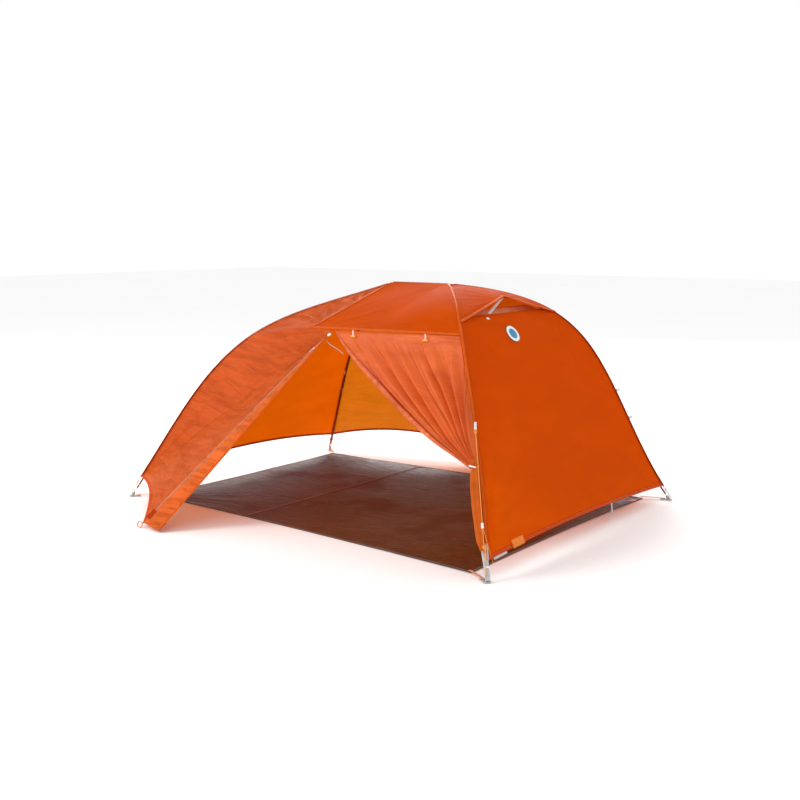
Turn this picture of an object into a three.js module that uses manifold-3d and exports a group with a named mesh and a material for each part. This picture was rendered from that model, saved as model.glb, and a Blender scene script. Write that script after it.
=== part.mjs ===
// Three-person freestanding tent: rainfly on a hubbed pole frame over a ground sheet.
// Millimetres. +X runs to the head end, -Y is the open door, +Z is up, z = 0 is the ground.
import * as THREE from 'three';
import { mergeVertices } from 'three/addons/utils/BufferGeometryUtils.js';
import Module from 'manifold-3d';

const wasm = await Module();
wasm.setup();

// Ground sheet
const SHEET_LENGTH = 2290;
const SHEET_HEAD_WIDTH = 1780;
const SHEET_FOOT_WIDTH = 1575;
const SHEET_THICKNESS = 2;
const SHEET_EDGE_CURVE = 18;

// Pole frame
const PEAK_HEIGHT = 1250;
const HEAD_HUB_X = 382;
const FOOT_HUB_X = 5;
const POLE_RADIUS = 4.75;
const HEAD_FOOT_BEYOND_SHEET = [145, 87];
const FOOT_FOOT_BEYOND_SHEET = [122, 100];
const HUB_RADIUS = 17;
const HUB_HEIGHT = 14;
const SOCKET_RADIUS = 8;
const SOCKET_LENGTH = 58;
const SOCKET_DEPTH = 30;
const BROW_POLE_X = 200;
const BROW_POLE_RADIUS = 4.2;
const CLIP_WALL = 2.6;
const CLIP_LENGTH = 26;
const CLIP_RISE = 1.8;
const CLIP_DISC = 5;
const TIP_RADIUS = 3;

// Corner plates that the poles stand in
const PLATE_RADIUS = 19;
const PLATE_THICKNESS = 5;
const PLATE_TAIL = 46;
const PLATE_BOSS_RADIUS = 9;
const PLATE_BOSS_HEIGHT = 20;

// Rainfly
const PANEL_THICKNESS = 3;
const SEAM_GAP = 5;
const POLE_CLEARANCE = 9;
const POLE_BELOW_FLY = POLE_RADIUS + PANEL_THICKNESS + POLE_CLEARANCE;
const HUB_CLEARANCE = 4;
const HUB_BELOW_FLY = 2 * (POLE_RADIUS + BROW_POLE_RADIUS + CLIP_WALL) + PANEL_THICKNESS + POLE_CLEARANCE
  + HUB_CLEARANCE;
const HEAD_HEM_HEIGHT = 88;
const HEAD_HEM_RISE = 22;
const FOOT_HEM_HEIGHT = 120;
const FOOT_HEM_RISE = 60;
const END_PANEL_SAG = 22;
const BROW_HALF_WIDTH = 500;
const BROW_HEIGHT = 1030;
const BROW_FOOT_X = -150;
const DOOR_TOP_X = 0;
const ROOF_CROWN = 22;
const NEAR_STAKE_X = -660;
const FAR_STAKE_X = 120;
const STAKE_OUT = 1278;
const STAKE_HEIGHT = 16;
const NEAR_HEM_RISE = 0.04;
const FAR_HEM_RISE = 0.11;
const STORM_FLAP_WIDTH = 150;
const ZIP_WIDTH = 12;
const ZIP_END = 0.975;
const TIE_HEIGHT = 472;
const DOOR_EDGE_SAG = 34;
const DOOR_PLEAT = 8;
const BUNCH_RADIUS = 15;
const BUNCH_FOOT_HEIGHT = 130;

// Vent
const VENT_SEAM_HEIGHT = 1085;
const VENT_LIFT = 62;
const VENT_SETBACK = 0.16;
const VENT_CLEAR = 3.5;
const VENT_LIP = 4.5;
const MESH_BELOW = 30;
const MESH_SIDE = 60;
const STRUT_WIDTH = 14;
const STRUT_SIDE = 150;

// Webbing, cord and small parts
const WEB_WIDTH = 15;
const WEB_THICKNESS = 1.6;
const CORD_RADIUS = 1.5;
const BUCKLE_THICKNESS = 4.4;
const BUCKLE_PROUD = 0.4;
const BUCKLE_LENGTH = 18;
const BROW_TOGGLE_X = [155, 626];
const GUY_TAB_HEIGHT = 633;
const GUY_FOOT_HEIGHT = 60;
const LOCK_SHARE = 0.69;
const LOCK_RADIUS = 6;
const LOCK_HALF_LENGTH = 12;
const GAP = 0.3;

const NEAR = -1;
const FAR = 1;
const v3 = (x, y, z) => new THREE.Vector3(x, y, z);
const mix = (a, b, share) => a.clone().lerp(b, share);
const tentMiddle = v3((HEAD_HUB_X + FOOT_HUB_X) / 2, 0, PEAK_HEIGHT * 0.3);

// Finishes
const finish = (color, roughness, metalness = 0) => ({ color, roughness, metalness });
const sunlitFabric = finish(0xe4703c, 0.55);
const roofFabric = finish(0xdd5a0a, 0.55);
const endFabric = finish(0xcb4a02, 0.55);
const sheetFabric = finish(0x4f2a14, 0.6);
const poleMetal = finish(0x6e2418, 0.35, 0.8);
const bareMetal = finish(0xb9bbbd, 0.35, 0.9);
const greyPlastic = finish(0x5b5d60, 0.5);
const greyWebbing = finish(0xb9b9b4, 0.75);
const orangeWebbing = finish(0xe8742a, 0.75);
const orangeCord = finish(0xf8962a, 0.6);
const paleTrim = finish(0xe8e6e0, 0.6);
const meshCloth = finish(0xd98a6a, 0.8);
const zipNylon = finish(0xa8a39b, 0.6);

const group = new THREE.Group();

function addPiece(name, geometry, look) {
  const mesh = new THREE.Mesh(geometry, new THREE.MeshStandardMaterial(look));
  mesh.name = name;
  group.add(mesh);
  return mesh;
}

// --- solids -------------------------------------------------------------

function toSolid(geometry) {
  const bare = geometry.index ? geometry.toNonIndexed() : geometry.clone();
  bare.deleteAttribute('normal');
  bare.deleteAttribute('uv');
  const merged = mergeVertices(bare, 1e-4);
  const solidMesh = new wasm.Mesh({
    numProp: 3,
    vertProperties: new Float32Array(merged.attributes.position.array),
    triVerts: new Uint32Array(merged.index.array),
  });
  return new wasm.Manifold(solidMesh);
}

function toGeometry(solid) {
  const { vertProperties, triVerts } = solid.getMesh();
  const geometry = new THREE.BufferGeometry();
  geometry.setAttribute('position', new THREE.BufferAttribute(vertProperties, 3));
  geometry.setIndex(new THREE.BufferAttribute(triVerts, 1));
  return geometry;
}

function join(...geometries) {
  return toGeometry(geometries.map(toSolid).reduce((sum, solid) => sum.add(solid)));
}

function cut(geometry, ...cutters) {
  return toGeometry(cutters.map(toSolid).reduce((rest, solid) => rest.subtract(solid), toSolid(geometry)));
}

// A rod of the given radius between two points.
function rod(from, to, radius, sides = 12) {
  const along = to.clone().sub(from);
  const geometry = new THREE.CylinderGeometry(radius, radius, along.length(), sides);
  geometry.applyQuaternion(new THREE.Quaternion().setFromUnitVectors(v3(0, 1, 0), along.normalize()));
  const middle = mix(from, to, 0.5);
  return geometry.translate(middle.x, middle.y, middle.z);
}

// A round tube swept along a curve or through a list of points.
function sweep(path, radius, steps, sides = 8) {
  const curve = Array.isArray(path) ? new THREE.CatmullRomCurve3(path) : path;
  const corners = Array.from({ length: sides }, (_, i) => new THREE.Vector2(
    radius * Math.cos(i / sides * Math.PI * 2), radius * Math.sin(i / sides * Math.PI * 2)));
  return new THREE.ExtrudeGeometry(new THREE.Shape(corners), {
    steps, extrudePath: curve, bevelEnabled: false, curveSegments: 1,
  });
}

function box(width, depth, height, middle) {
  return new THREE.BoxGeometry(width, depth, height).translate(middle.x, middle.y, middle.z);
}

// Gives a grid of points a thickness on the side that faces `inside`.
function thicken(rows, thickness, inside = tentMiddle) {
  const rowCount = rows.length;
  const columnCount = rows[0].length;
  const clamp = (value, count) => Math.min(Math.max(value, 0), count - 1);
  const at = (i, j) => rows[clamp(i, rowCount)][clamp(j, columnCount)];
  const normalAt = (i, j) => at(i + 1, j).clone().sub(at(i - 1, j))
    .cross(at(i, j + 1).clone().sub(at(i, j - 1))).normalize();
  const midRow = rowCount >> 1;
  const midColumn = columnCount >> 1;
  const outward = at(midRow, midColumn).clone().sub(inside);
  const side = Math.sign(normalAt(midRow, midColumn).dot(outward)) || 1;
  const positions = [];
  for (const layer of [0, 1]) {
    for (let i = 0; i < rowCount; i += 1) {
      for (let j = 0; j < columnCount; j += 1) {
        const point = at(i, j).clone().addScaledVector(normalAt(i, j), -side * layer * thickness);
        positions.push(point.x, point.y, point.z);
      }
    }
  }
  const index = [];
  const id = (layer, i, j) => layer * rowCount * columnCount + i * columnCount + j;
  const quad = (a, b, c, d) => {
    if (side > 0) index.push(a, b, c, a, c, d);
    else index.push(a, c, b, a, d, c);
  };
  for (let i = 0; i < rowCount - 1; i += 1) {
    for (let j = 0; j < columnCount - 1; j += 1) {
      quad(id(0, i, j), id(0, i + 1, j), id(0, i + 1, j + 1), id(0, i, j + 1));
      quad(id(1, i, j), id(1, i, j + 1), id(1, i + 1, j + 1), id(1, i + 1, j));
    }
  }
  for (let i = 0; i < rowCount - 1; i += 1) {
    const last = columnCount - 1;
    quad(id(0, i, 0), id(1, i, 0), id(1, i + 1, 0), id(0, i + 1, 0));
    quad(id(0, i, last), id(0, i + 1, last), id(1, i + 1, last), id(1, i, last));
  }
  for (let j = 0; j < columnCount - 1; j += 1) {
    const last = rowCount - 1;
    quad(id(0, 0, j), id(0, 0, j + 1), id(1, 0, j + 1), id(1, 0, j));
    quad(id(0, last, j), id(1, last, j), id(1, last, j + 1), id(0, last, j + 1));
  }
  const geometry = new THREE.BufferGeometry();
  geometry.setAttribute('position', new THREE.Float32BufferAttribute(positions, 3));
  geometry.setIndex(index);
  return geometry;
}

// The point a share of the way from a to b, on a line that stops short of both ends.
function pointBetween(a, b, share, startGap = SEAM_GAP, endGap = SEAM_GAP) {
  const length = a.distanceTo(b);
  return mix(a, b, (startGap + (length - startGap - endGap) * share) / length);
}

// A straight row from a to b that stops short of both ends.
function rowBetween(a, b, count, startGap = SEAM_GAP, endGap = SEAM_GAP) {
  return Array.from({ length: count + 1 }, (_, j) => pointBetween(a, b, j / count, startGap, endGap));
}

// A grid of rows made by a function of a share that runs from `start` to `end`.
function gridOf(count, start, end, makeRow) {
  const rows = [];
  for (let i = 0; i <= count; i += 1) rows.push(makeRow(start + (end - start) * (i / count)));
  return rows;
}

// A flat strap through a list of points, its width along `across`.
function strap(points, width, thickness, across, inside = tentMiddle) {
  const half = across.clone().normalize().multiplyScalar(width / 2);
  const rows = points.map((point) => [point.clone().sub(half), point.clone().add(half)]);
  return thicken(rows, thickness, inside);
}

// --- frame lines --------------------------------------------------------

// Shape of the arches, as shares of the reach, the half width and the height.
const HEAD_ARCH = [[0, 0, 1], [0.415, 0.433, 0.957], [0.573, 0.673, 0.852],
  [0.696, 0.712, 0.619], [0.818, 0.753, 0.292], [1, 1, 0]];
const FOOT_ARCH = [[0, 0, 1], [0.276, 0.336, 0.878], [0.502, 0.559, 0.842],
  [0.657, 0.69, 0.696], [0.781, 0.802, 0.382], [1, 1, 0]];

const headEnd = {
  hubX: HEAD_HUB_X,
  footX: SHEET_LENGTH / 2 + HEAD_FOOT_BEYOND_SHEET[0],
  footY: SHEET_HEAD_WIDTH / 2 + HEAD_FOOT_BEYOND_SHEET[1],
  shape: HEAD_ARCH,
};
const footEnd = {
  hubX: FOOT_HUB_X,
  footX: -SHEET_LENGTH / 2 - FOOT_FOOT_BEYOND_SHEET[0],
  footY: SHEET_FOOT_WIDTH / 2 + FOOT_FOOT_BEYOND_SHEET[1],
  shape: FOOT_ARCH,
};

// Point of the fly over a leg, share 0 at the hub and 1 on the ground.
function legLine(end, side, share) {
  let points = end.shape.map(([reach, half, height]) => v3(
    end.hubX + (end.footX - end.hubX) * reach, side * end.footY * half, PEAK_HEIGHT * height));
  while (points.length > 1) points = points.slice(1).map((point, i) => mix(points[i], point, share));
  return points[0];
}

function legShareAtHeight(end, height) {
  let low = 0;
  let high = 1;
  for (let i = 0; i < 40; i += 1) {
    const middle = (low + high) / 2;
    if (legLine(end, NEAR, middle).z > height) low = middle;
    else high = middle;
  }
  return low;
}

function legOutward(end, side, share) {
  const step = 0.01;
  const before = legLine(end, side, Math.max(share - step, 0));
  const along = legLine(end, side, Math.min(share + step, 1)).sub(before);
  const plan = v3(end.footX - end.hubX, side * end.footY, 0).normalize();
  return v3(0, 0, plan.dot(along)).addScaledVector(plan, -along.z).normalize();
}

// A pole runs just under the fly, and deeper near its hub.
const POLE_RISE_SHARE = 0.2;

class PoleLine extends THREE.Curve {
  constructor(end, side, from, to) {
    super();
    Object.assign(this, { end, side, from, to });
  }

  getPoint(t) {
    const share = this.from + (this.to - this.from) * t;
    const below = THREE.MathUtils.lerp(HUB_BELOW_FLY, POLE_BELOW_FLY, Math.min(share / POLE_RISE_SHARE, 1));
    return legLine(this.end, this.side, share)
      .addScaledVector(legOutward(this.end, this.side, share), -below);
  }
}

const legNames = [
  ['head_near', headEnd, NEAR], ['head_far', headEnd, FAR],
  ['foot_near', footEnd, NEAR], ['foot_far', footEnd, FAR],
];

const shoulderShare = legShareAtHeight(headEnd, BROW_HEIGHT + 8);
const browShareFoot = legShareAtHeight(footEnd, BROW_HEIGHT - 45);
const headHemShare = legShareAtHeight(headEnd, HEAD_HEM_HEIGHT);
const footHemShare = legShareAtHeight(footEnd, FOOT_HEM_HEIGHT);

const browFoot = (side) => v3(BROW_FOOT_X, side * BROW_HALF_WIDTH, BROW_HEIGHT - 8);
const doorTop = (side) => v3(DOOR_TOP_X, side * (BROW_HALF_WIDTH + 8), BROW_HEIGHT - 14);
const browCorner = (side) => browFoot(side).add(v3(0, side * 6, -8));
const stake = (side) => v3(side === NEAR ? NEAR_STAKE_X : FAR_STAKE_X, side * STAKE_OUT, STAKE_HEIGHT);
const bowOf = (across) => 4 * across * (1 - across);
const shoulder = (side) => legLine(headEnd, side, shoulderShare);
const zipLine = (side, share) => mix(doorTop(side), stake(side), share);
const foldLine = (side, share) => mix(doorTop(side), legLine(footEnd, side, footHemShare), share);

// --- ground sheet -------------------------------------------------------

const sheetCorner = (end, side) => (end === headEnd
  ? v3(SHEET_LENGTH / 2, side * SHEET_HEAD_WIDTH / 2, 0)
  : v3(-SHEET_LENGTH / 2, side * SHEET_FOOT_WIDTH / 2, 0));

function makeGroundSheet() {
  const outline = new THREE.Shape();
  const corners = [sheetCorner(footEnd, NEAR), sheetCorner(headEnd, NEAR), sheetCorner(headEnd, FAR),
    sheetCorner(footEnd, FAR)];
  outline.moveTo(corners[0].x, corners[0].y);
  for (let i = 1; i <= corners.length; i += 1) {
    const from = corners[i - 1];
    const to = corners[i % corners.length];
    const middle = mix(from, to, 0.5);
    const pull = middle.clone().normalize().multiplyScalar(-2 * SHEET_EDGE_CURVE);
    outline.quadraticCurveTo(middle.x + pull.x, middle.y + pull.y, to.x, to.y);
  }
  addPiece('ground_sheet', new THREE.ExtrudeGeometry(outline, {
    depth: SHEET_THICKNESS, bevelEnabled: false, curveSegments: 8,
  }), sheetFabric);
}

// --- poles, hubs, tips and corner plates --------------------------------

const poleStart = 0.02;
const poleEnd = 0.975;
const POLE_STEPS = 30;

function poleCurve(end, side) {
  return new PoleLine(end, side, poleStart, poleEnd);
}

const hubCentre = (end) => v3(end.hubX, 0, PEAK_HEIGHT - HUB_BELOW_FLY);

function ridgeRod(radius) {
  return rod(hubCentre(footEnd).add(v3(SOCKET_DEPTH / 2, 0, 0)),
    hubCentre(headEnd).add(v3(-SOCKET_DEPTH / 2, 0, 0)), radius, 10);
}

function makeHub(name, end) {
  const centre = hubCentre(end);
  const body = new THREE.CylinderGeometry(HUB_RADIUS, HUB_RADIUS * 0.92, HUB_HEIGHT, 24)
    .rotateX(Math.PI / 2).translate(centre.x, centre.y, centre.z);
  const towardRidge = v3(end === headEnd ? -1 : 1, 0, 0);
  const sockets = [rod(centre, centre.clone().addScaledVector(towardRidge, SOCKET_LENGTH), SOCKET_RADIUS)];
  for (const side of [NEAR, FAR]) {
    const direction = poleCurve(end, side).getPoint(0.05).sub(centre).normalize();
    sockets.push(rod(centre, centre.clone().addScaledVector(direction, SOCKET_LENGTH), SOCKET_RADIUS));
  }
  const bores = [NEAR, FAR].flatMap((side) => {
    const start = poleCurve(end, side).getPoint(0);
    const back = start.clone().sub(poleCurve(end, side).getPoint(0.01)).normalize();
    return [sweep(poleCurve(end, side), POLE_RADIUS + GAP, POLE_STEPS),
      rod(start.clone().sub(back), start.clone().add(back), POLE_RADIUS + GAP)];
  });
  addPiece(name, cut(join(body, ...sockets), ridgeRod(POLE_RADIUS + GAP), ...bores), greyPlastic);
}

function makePoles() {
  for (const [name, end, side] of legNames) {
    addPiece(`pole_${name}`, sweep(poleCurve(end, side), POLE_RADIUS, POLE_STEPS), poleMetal);
  }
  addPiece('pole_ridge', ridgeRod(POLE_RADIUS), poleMetal);
  makeHub('hub_head', headEnd);
  makeHub('hub_foot', footEnd);
}

function cornerPlate(end, side) {
  const tip = poleCurve(end, side).getPoint(1);
  const toTip = tip.clone().sub(poleCurve(end, side).getPoint(0.98)).normalize();
  const seat = tip.clone().addScaledVector(toTip, (tip.z - PLATE_THICKNESS - 1) / -toTip.z);
  const inward = sheetCorner(end, side).sub(v3(seat.x, seat.y, 0)).setZ(0).normalize();
  return { tip, toTip, seat, inward };
}

function makeCorner(name, end, side) {
  const { tip, toTip, seat, inward } = cornerPlate(end, side);
  const base = v3(seat.x, seat.y, PLATE_THICKNESS / 2);
  const plate = new THREE.CylinderGeometry(PLATE_RADIUS, PLATE_RADIUS, PLATE_THICKNESS, 16)
    .rotateX(Math.PI / 2).translate(base.x, base.y, base.z);
  const tail = new THREE.BoxGeometry(PLATE_TAIL, PLATE_RADIUS * 1.5, PLATE_THICKNESS)
    .translate(-PLATE_TAIL / 2, 0, 0).rotateZ(Math.atan2(inward.y, inward.x) + Math.PI)
    .translate(base.x, base.y, base.z);
  const bossTop = seat.clone().addScaledVector(toTip, -PLATE_BOSS_HEIGHT);
  const boss = rod(seat.clone().addScaledVector(toTip, 3), bossTop, PLATE_BOSS_RADIUS, 16);
  const slotPlace = base.clone().addScaledVector(inward, PLATE_TAIL - 12);
  const slot = new THREE.BoxGeometry(5, WEB_WIDTH + 3, PLATE_THICKNESS * 3)
    .rotateZ(Math.atan2(inward.y, inward.x)).translate(slotPlace.x, slotPlace.y, slotPlace.z);
  const bore = rod(seat, seat.clone().addScaledVector(toTip, -60), POLE_RADIUS + GAP + 0.2, 12);
  const ground = box(200, 200, 40, base.clone().setZ(-20));
  addPiece(`corner_plate_${name}`, cut(join(plate, tail, boss), slot, bore, ground), greyPlastic);
  const tipTop = tip.clone().addScaledVector(toTip, GAP);
  const tipFoot = seat.clone().addScaledVector(toTip, -GAP);
  addPiece(`pole_tip_${name}`, rod(tipTop, tipFoot, TIP_RADIUS, 10), bareMetal);

  const sheetEdge = sheetCorner(end, side).addScaledVector(inward, 14);
  const low = SHEET_THICKNESS + GAP + WEB_THICKNESS;
  const tailEnd = v3(seat.x, seat.y, 0).addScaledVector(inward, PLATE_TAIL - 17);
  const strapPath = [
    sheetEdge.clone().setZ(low),
    sheetEdge.clone().addScaledVector(inward, -26).setZ(low),
    tailEnd.clone().addScaledVector(inward, 24).setZ(PLATE_THICKNESS + 3),
    tailEnd.clone().setZ(PLATE_THICKNESS + GAP + WEB_THICKNESS),
    tailEnd.clone().addScaledVector(inward, -8).setZ(PLATE_THICKNESS + GAP + WEB_THICKNESS),
  ];
  const across = v3(-inward.y, inward.x, 0);
  const below = v3(seat.x, seat.y, -SHEET_LENGTH);
  addPiece(`sheet_strap_${name}`, strap(strapPath, WEB_WIDTH, WEB_THICKNESS, across, below), greyWebbing);
}

// --- roof and brow pole -------------------------------------------------

const RIDGE_SHARE = 0.42;

function roofUpper(side, share) {
  if (share < RIDGE_SHARE) {
    return v3(THREE.MathUtils.lerp(FOOT_HUB_X, HEAD_HUB_X, share / RIDGE_SHARE), 0, PEAK_HEIGHT);
  }
  return legLine(headEnd, side, shoulderShare * (share - RIDGE_SHARE) / (1 - RIDGE_SHARE));
}

function roofRow(side, share, count) {
  const lower = mix(browFoot(side), shoulder(side), share);
  const row = rowBetween(roofUpper(side, share), lower, count, SEAM_GAP, 2 * SEAM_GAP);
  const crown = ROOF_CROWN * Math.sin(Math.PI * share);
  row.forEach((point, j) => point.add(v3(0, 0, crown * Math.sin(Math.PI * (j / count) ** 0.7))));
  return row;
}

function makeRoof() {
  for (const [name, side] of [['near', NEAR], ['far', FAR]]) {
    const rows = gridOf(14, 0.016, 0.965, (share) => roofRow(side, share, 6));
    addPiece(`roof_panel_${name}`, thicken(rows, PANEL_THICKNESS), roofFabric);
  }
}

// Point of the roof at a given x, so many of the 20 steps out from the ridge.
function roofPoint(side, x, step) {
  let low = 0.01;
  let high = 0.9;
  let row = [];
  for (let i = 0; i < 24; i += 1) {
    const middle = (low + high) / 2;
    row = roofRow(side, middle, 20);
    if (row[step].x < x) low = middle;
    else high = middle;
  }
  return row[step];
}

function browPath() {
  const drop = v3(0, 0, -BROW_POLE_RADIUS - PANEL_THICKNESS - POLE_CLEARANCE);
  const points = [19, 16, 12, 8, 5, 3].map((step) => roofPoint(NEAR, BROW_POLE_X, step).add(drop));
  const mirrored = points.map((point) => v3(point.x, -point.y, point.z)).reverse();
  const rise = POLE_RADIUS + BROW_POLE_RADIUS + 2 * CLIP_WALL + CLIP_RISE;
  const top = v3(BROW_POLE_X, 0, hubCentre(headEnd).z + rise);
  return new THREE.CatmullRomCurve3([...points, top, ...mirrored]);
}

function makeBrowPole() {
  const path = browPath();
  addPiece('brow_pole', sweep(path, BROW_POLE_RADIUS, POLE_STEPS), poleMetal);
  const ridge = v3(BROW_POLE_X, 0, hubCentre(headEnd).z);
  const brow = path.getPoint(0.5);
  const half = v3(CLIP_LENGTH / 2, 0, 0);
  const split = ridge.clone().add(v3(0, 0, POLE_RADIUS + CLIP_WALL + GAP / 2));
  const below = box(60, 60, 60, split.clone().add(v3(0, 0, -30 + GAP / 2)));
  const above = box(60, 60, 60, split.clone().add(v3(0, 0, 30 - GAP / 2)));
  const shellRadius = POLE_RADIUS + CLIP_WALL;
  const disc = new THREE.CylinderGeometry(shellRadius, shellRadius, CLIP_DISC, 16)
    .rotateX(Math.PI / 2).translate(split.x, split.y, split.z);
  const ridgeShell = join(rod(ridge.clone().sub(half), ridge.clone().add(half), shellRadius, 16), disc);
  addPiece('brow_clip_lower', cut(ridgeShell, ridgeRod(POLE_RADIUS + GAP), above), greyPlastic);
  const across = v3(0, CLIP_LENGTH / 2, 0);
  const browRod = rod(brow.clone().sub(across), brow.clone().add(across), BROW_POLE_RADIUS + CLIP_WALL, 16);
  const bore = sweep(path, BROW_POLE_RADIUS + GAP, POLE_STEPS);
  addPiece('brow_clip_upper', cut(join(browRod, disc), bore, below), greyPlastic);
}

// --- end panels ---------------------------------------------------------

function endRow(end, share, count, hemHeight, hemRise, topShare, hemShare) {
  const down = (share - topShare) / (hemShare - topShare);
  const row = [];
  for (let j = 0; j <= count; j += 1) {
    const across = j / count;
    const bow = bowOf(across);
    const raised = legShareAtHeight(end, hemHeight + hemRise * bow);
    const here = topShare + (raised - topShare) * down;
    const point = pointBetween(legLine(end, NEAR, here), legLine(end, FAR, here), across);
    const inward = legOutward(end, NEAR, here).setY(0).normalize();
    row.push(point.addScaledVector(inward, -END_PANEL_SAG * bow * Math.sin(Math.PI * down)));
  }
  return row;
}

const ventShare = legShareAtHeight(headEnd, VENT_SEAM_HEIGHT);
const ventMiddleShare = ventShare * (1 - VENT_SETBACK);
const headTopShare = ventShare * 0.9;
const footTopShare = 0.035;

function makeEndPanels() {
  const headRows = gridOf(12, headTopShare, headHemShare, (share) => endRow(
    headEnd, share, 10, HEAD_HEM_HEIGHT, HEAD_HEM_RISE, headTopShare, headHemShare));
  addPiece('head_end_panel', thicken(headRows, PANEL_THICKNESS), endFabric);
  const footRows = gridOf(13, footTopShare, footHemShare, (share) => endRow(
    footEnd, share, 10, FOOT_HEM_HEIGHT, FOOT_HEM_RISE, footTopShare, footHemShare));
  addPiece('foot_end_panel', thicken(footRows, PANEL_THICKNESS), endFabric);
}

// --- vent ---------------------------------------------------------------

function hoodPoint(down, across) {
  const middleness = 1 - Math.abs(2 * across - 1);
  const edgeShare = THREE.MathUtils.lerp(ventShare, ventMiddleShare, middleness);
  const here = THREE.MathUtils.lerp(0.03, edgeShare, down);
  const point = pointBetween(legLine(headEnd, NEAR, here), legLine(headEnd, FAR, here), across);
  const clear = 1 + (VENT_CLEAR + VENT_LIP * middleness) * down;
  return point.add(v3(3 * down, 0, clear + VENT_LIFT * middleness * down * down));
}

const strutFoot = () => {
  const share = headTopShare;
  const place = legLine(headEnd, NEAR, share);
  return v3(place.x - 10, -STRUT_SIDE, place.z + 3);
};
const strutHead = () => hoodPoint(0.97, 0.5).add(v3(-4, 0, -PANEL_THICKNESS - 5));

function makeVent() {
  const hoodRow = (down) => Array.from({ length: 11 }, (_, j) => hoodPoint(down, j / 10));
  const hoodRows = gridOf(7, 0, 1, hoodRow);
  addPiece('vent_hood', thicken(hoodRows, PANEL_THICKNESS), endFabric);
  const top = ventMiddleShare * 0.8;
  const lowered = (side, share) => legLine(headEnd, side, share).add(v3(0, 0, -MESH_BELOW));
  const meshRows = gridOf(3, top, headTopShare - 0.012, (share) => rowBetween(
    lowered(NEAR, share), lowered(FAR, share), 8, MESH_SIDE, MESH_SIDE));
  addPiece('vent_mesh', thicken(meshRows, 2), meshCloth);
  addPiece('vent_strut', strap([strutFoot(), strutHead()], STRUT_WIDTH, 2.5, v3(1, 0, -0.35)), paleTrim);
}

// --- vestibules ---------------------------------------------------------

const BROW_TO_DOOR_SHARE = 0.06;

// Edge of the foot-side panel away from the pole: roof seam, brow, then down to the hem.
function sideEdge(side, share, lowerLine) {
  const doorShare = browShareFoot + BROW_TO_DOOR_SHARE;
  if (share < browShareFoot) {
    return mix(v3(FOOT_HUB_X, 0, PEAK_HEIGHT), browFoot(side), share / browShareFoot);
  }
  if (share < doorShare) {
    return mix(browCorner(side), doorTop(side), (share - browShareFoot) / (doorShare - browShareFoot));
  }
  return lowerLine(side, (share - doorShare) / (footHemShare - doorShare));
}

// Rows of a foot-side panel, with one on each side of the brow's corner.
function sideRows(end, makeRow) {
  const upper = gridOf(6, footTopShare, browShareFoot - 0.001, makeRow);
  return [...upper, ...gridOf(11, browShareFoot, end, makeRow)];
}

const zipGap = ZIP_WIDTH / 2 + 4;

function makeNearSide() {
  const rows = sideRows(footHemShare * 0.955, (share) => rowBetween(
    legLine(footEnd, NEAR, share), sideEdge(NEAR, share, foldLine), 5));
  addPiece('near_side_panel', thicken(rows, PANEL_THICKNESS), sunlitFabric);
  const doorRows = gridOf(8, 0, 1, (down) => Array.from({ length: 9 }, (_, j) => {
    const across = j / 8;
    const share = THREE.MathUtils.lerp(0.09, 0.985 - NEAR_HEM_RISE * bowOf(across), down);
    return pointBetween(foldLine(NEAR, share), zipLine(NEAR, share), across, SEAM_GAP, zipGap);
  }));
  addPiece('near_door_panel', thicken(doorRows, PANEL_THICKNESS), sunlitFabric);
  const flapRows = gridOf(6, 0.1, 0.99, (share) => {
    const start = zipLine(NEAR, share);
    const free = start.clone().add(v3(STORM_FLAP_WIDTH, 12, 4).multiplyScalar(share));
    return rowBetween(start, free, 3, zipGap, 0);
  });
  addPiece('near_storm_flap', thicken(flapRows, PANEL_THICKNESS), sunlitFabric);
}

function makeFarSide() {
  const footRow = (share) => {
    const down = Math.max(0, (share - browShareFoot) / (footHemShare - browShareFoot));
    return Array.from({ length: 8 }, (_, j) => {
      const across = j / 7;
      const here = share - FAR_HEM_RISE * (footHemShare - browShareFoot) * bowOf(across) * down;
      const edge = sideEdge(FAR, here, zipLine);
      return pointBetween(legLine(footEnd, FAR, here), edge, across, SEAM_GAP, zipGap);
    });
  };
  const footRows = sideRows(footHemShare, footRow);
  addPiece('far_vestibule_foot_panel', thicken(footRows, PANEL_THICKNESS), sunlitFabric);
  const headRows = gridOf(12, 0.012, 0.985, (down) => Array.from({ length: 8 }, (_, j) => {
    const across = j / 7;
    const here = down * (1 - FAR_HEM_RISE * bowOf(across));
    const legPoint = legLine(headEnd, FAR, shoulderShare + (headHemShare - shoulderShare) * here);
    return pointBetween(zipLine(FAR, here), legPoint, across, zipGap, SEAM_GAP);
  }));
  addPiece('far_vestibule_head_panel', thicken(headRows, PANEL_THICKNESS), sunlitFabric);
}

// The head-side half of the near door, gathered in a fan to a tie on the leg.
const tieShare = legShareAtHeight(headEnd, TIE_HEIGHT);
const tiePoint = () => legLine(headEnd, NEAR, tieShare).add(v3(-6, -22, 0));

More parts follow.
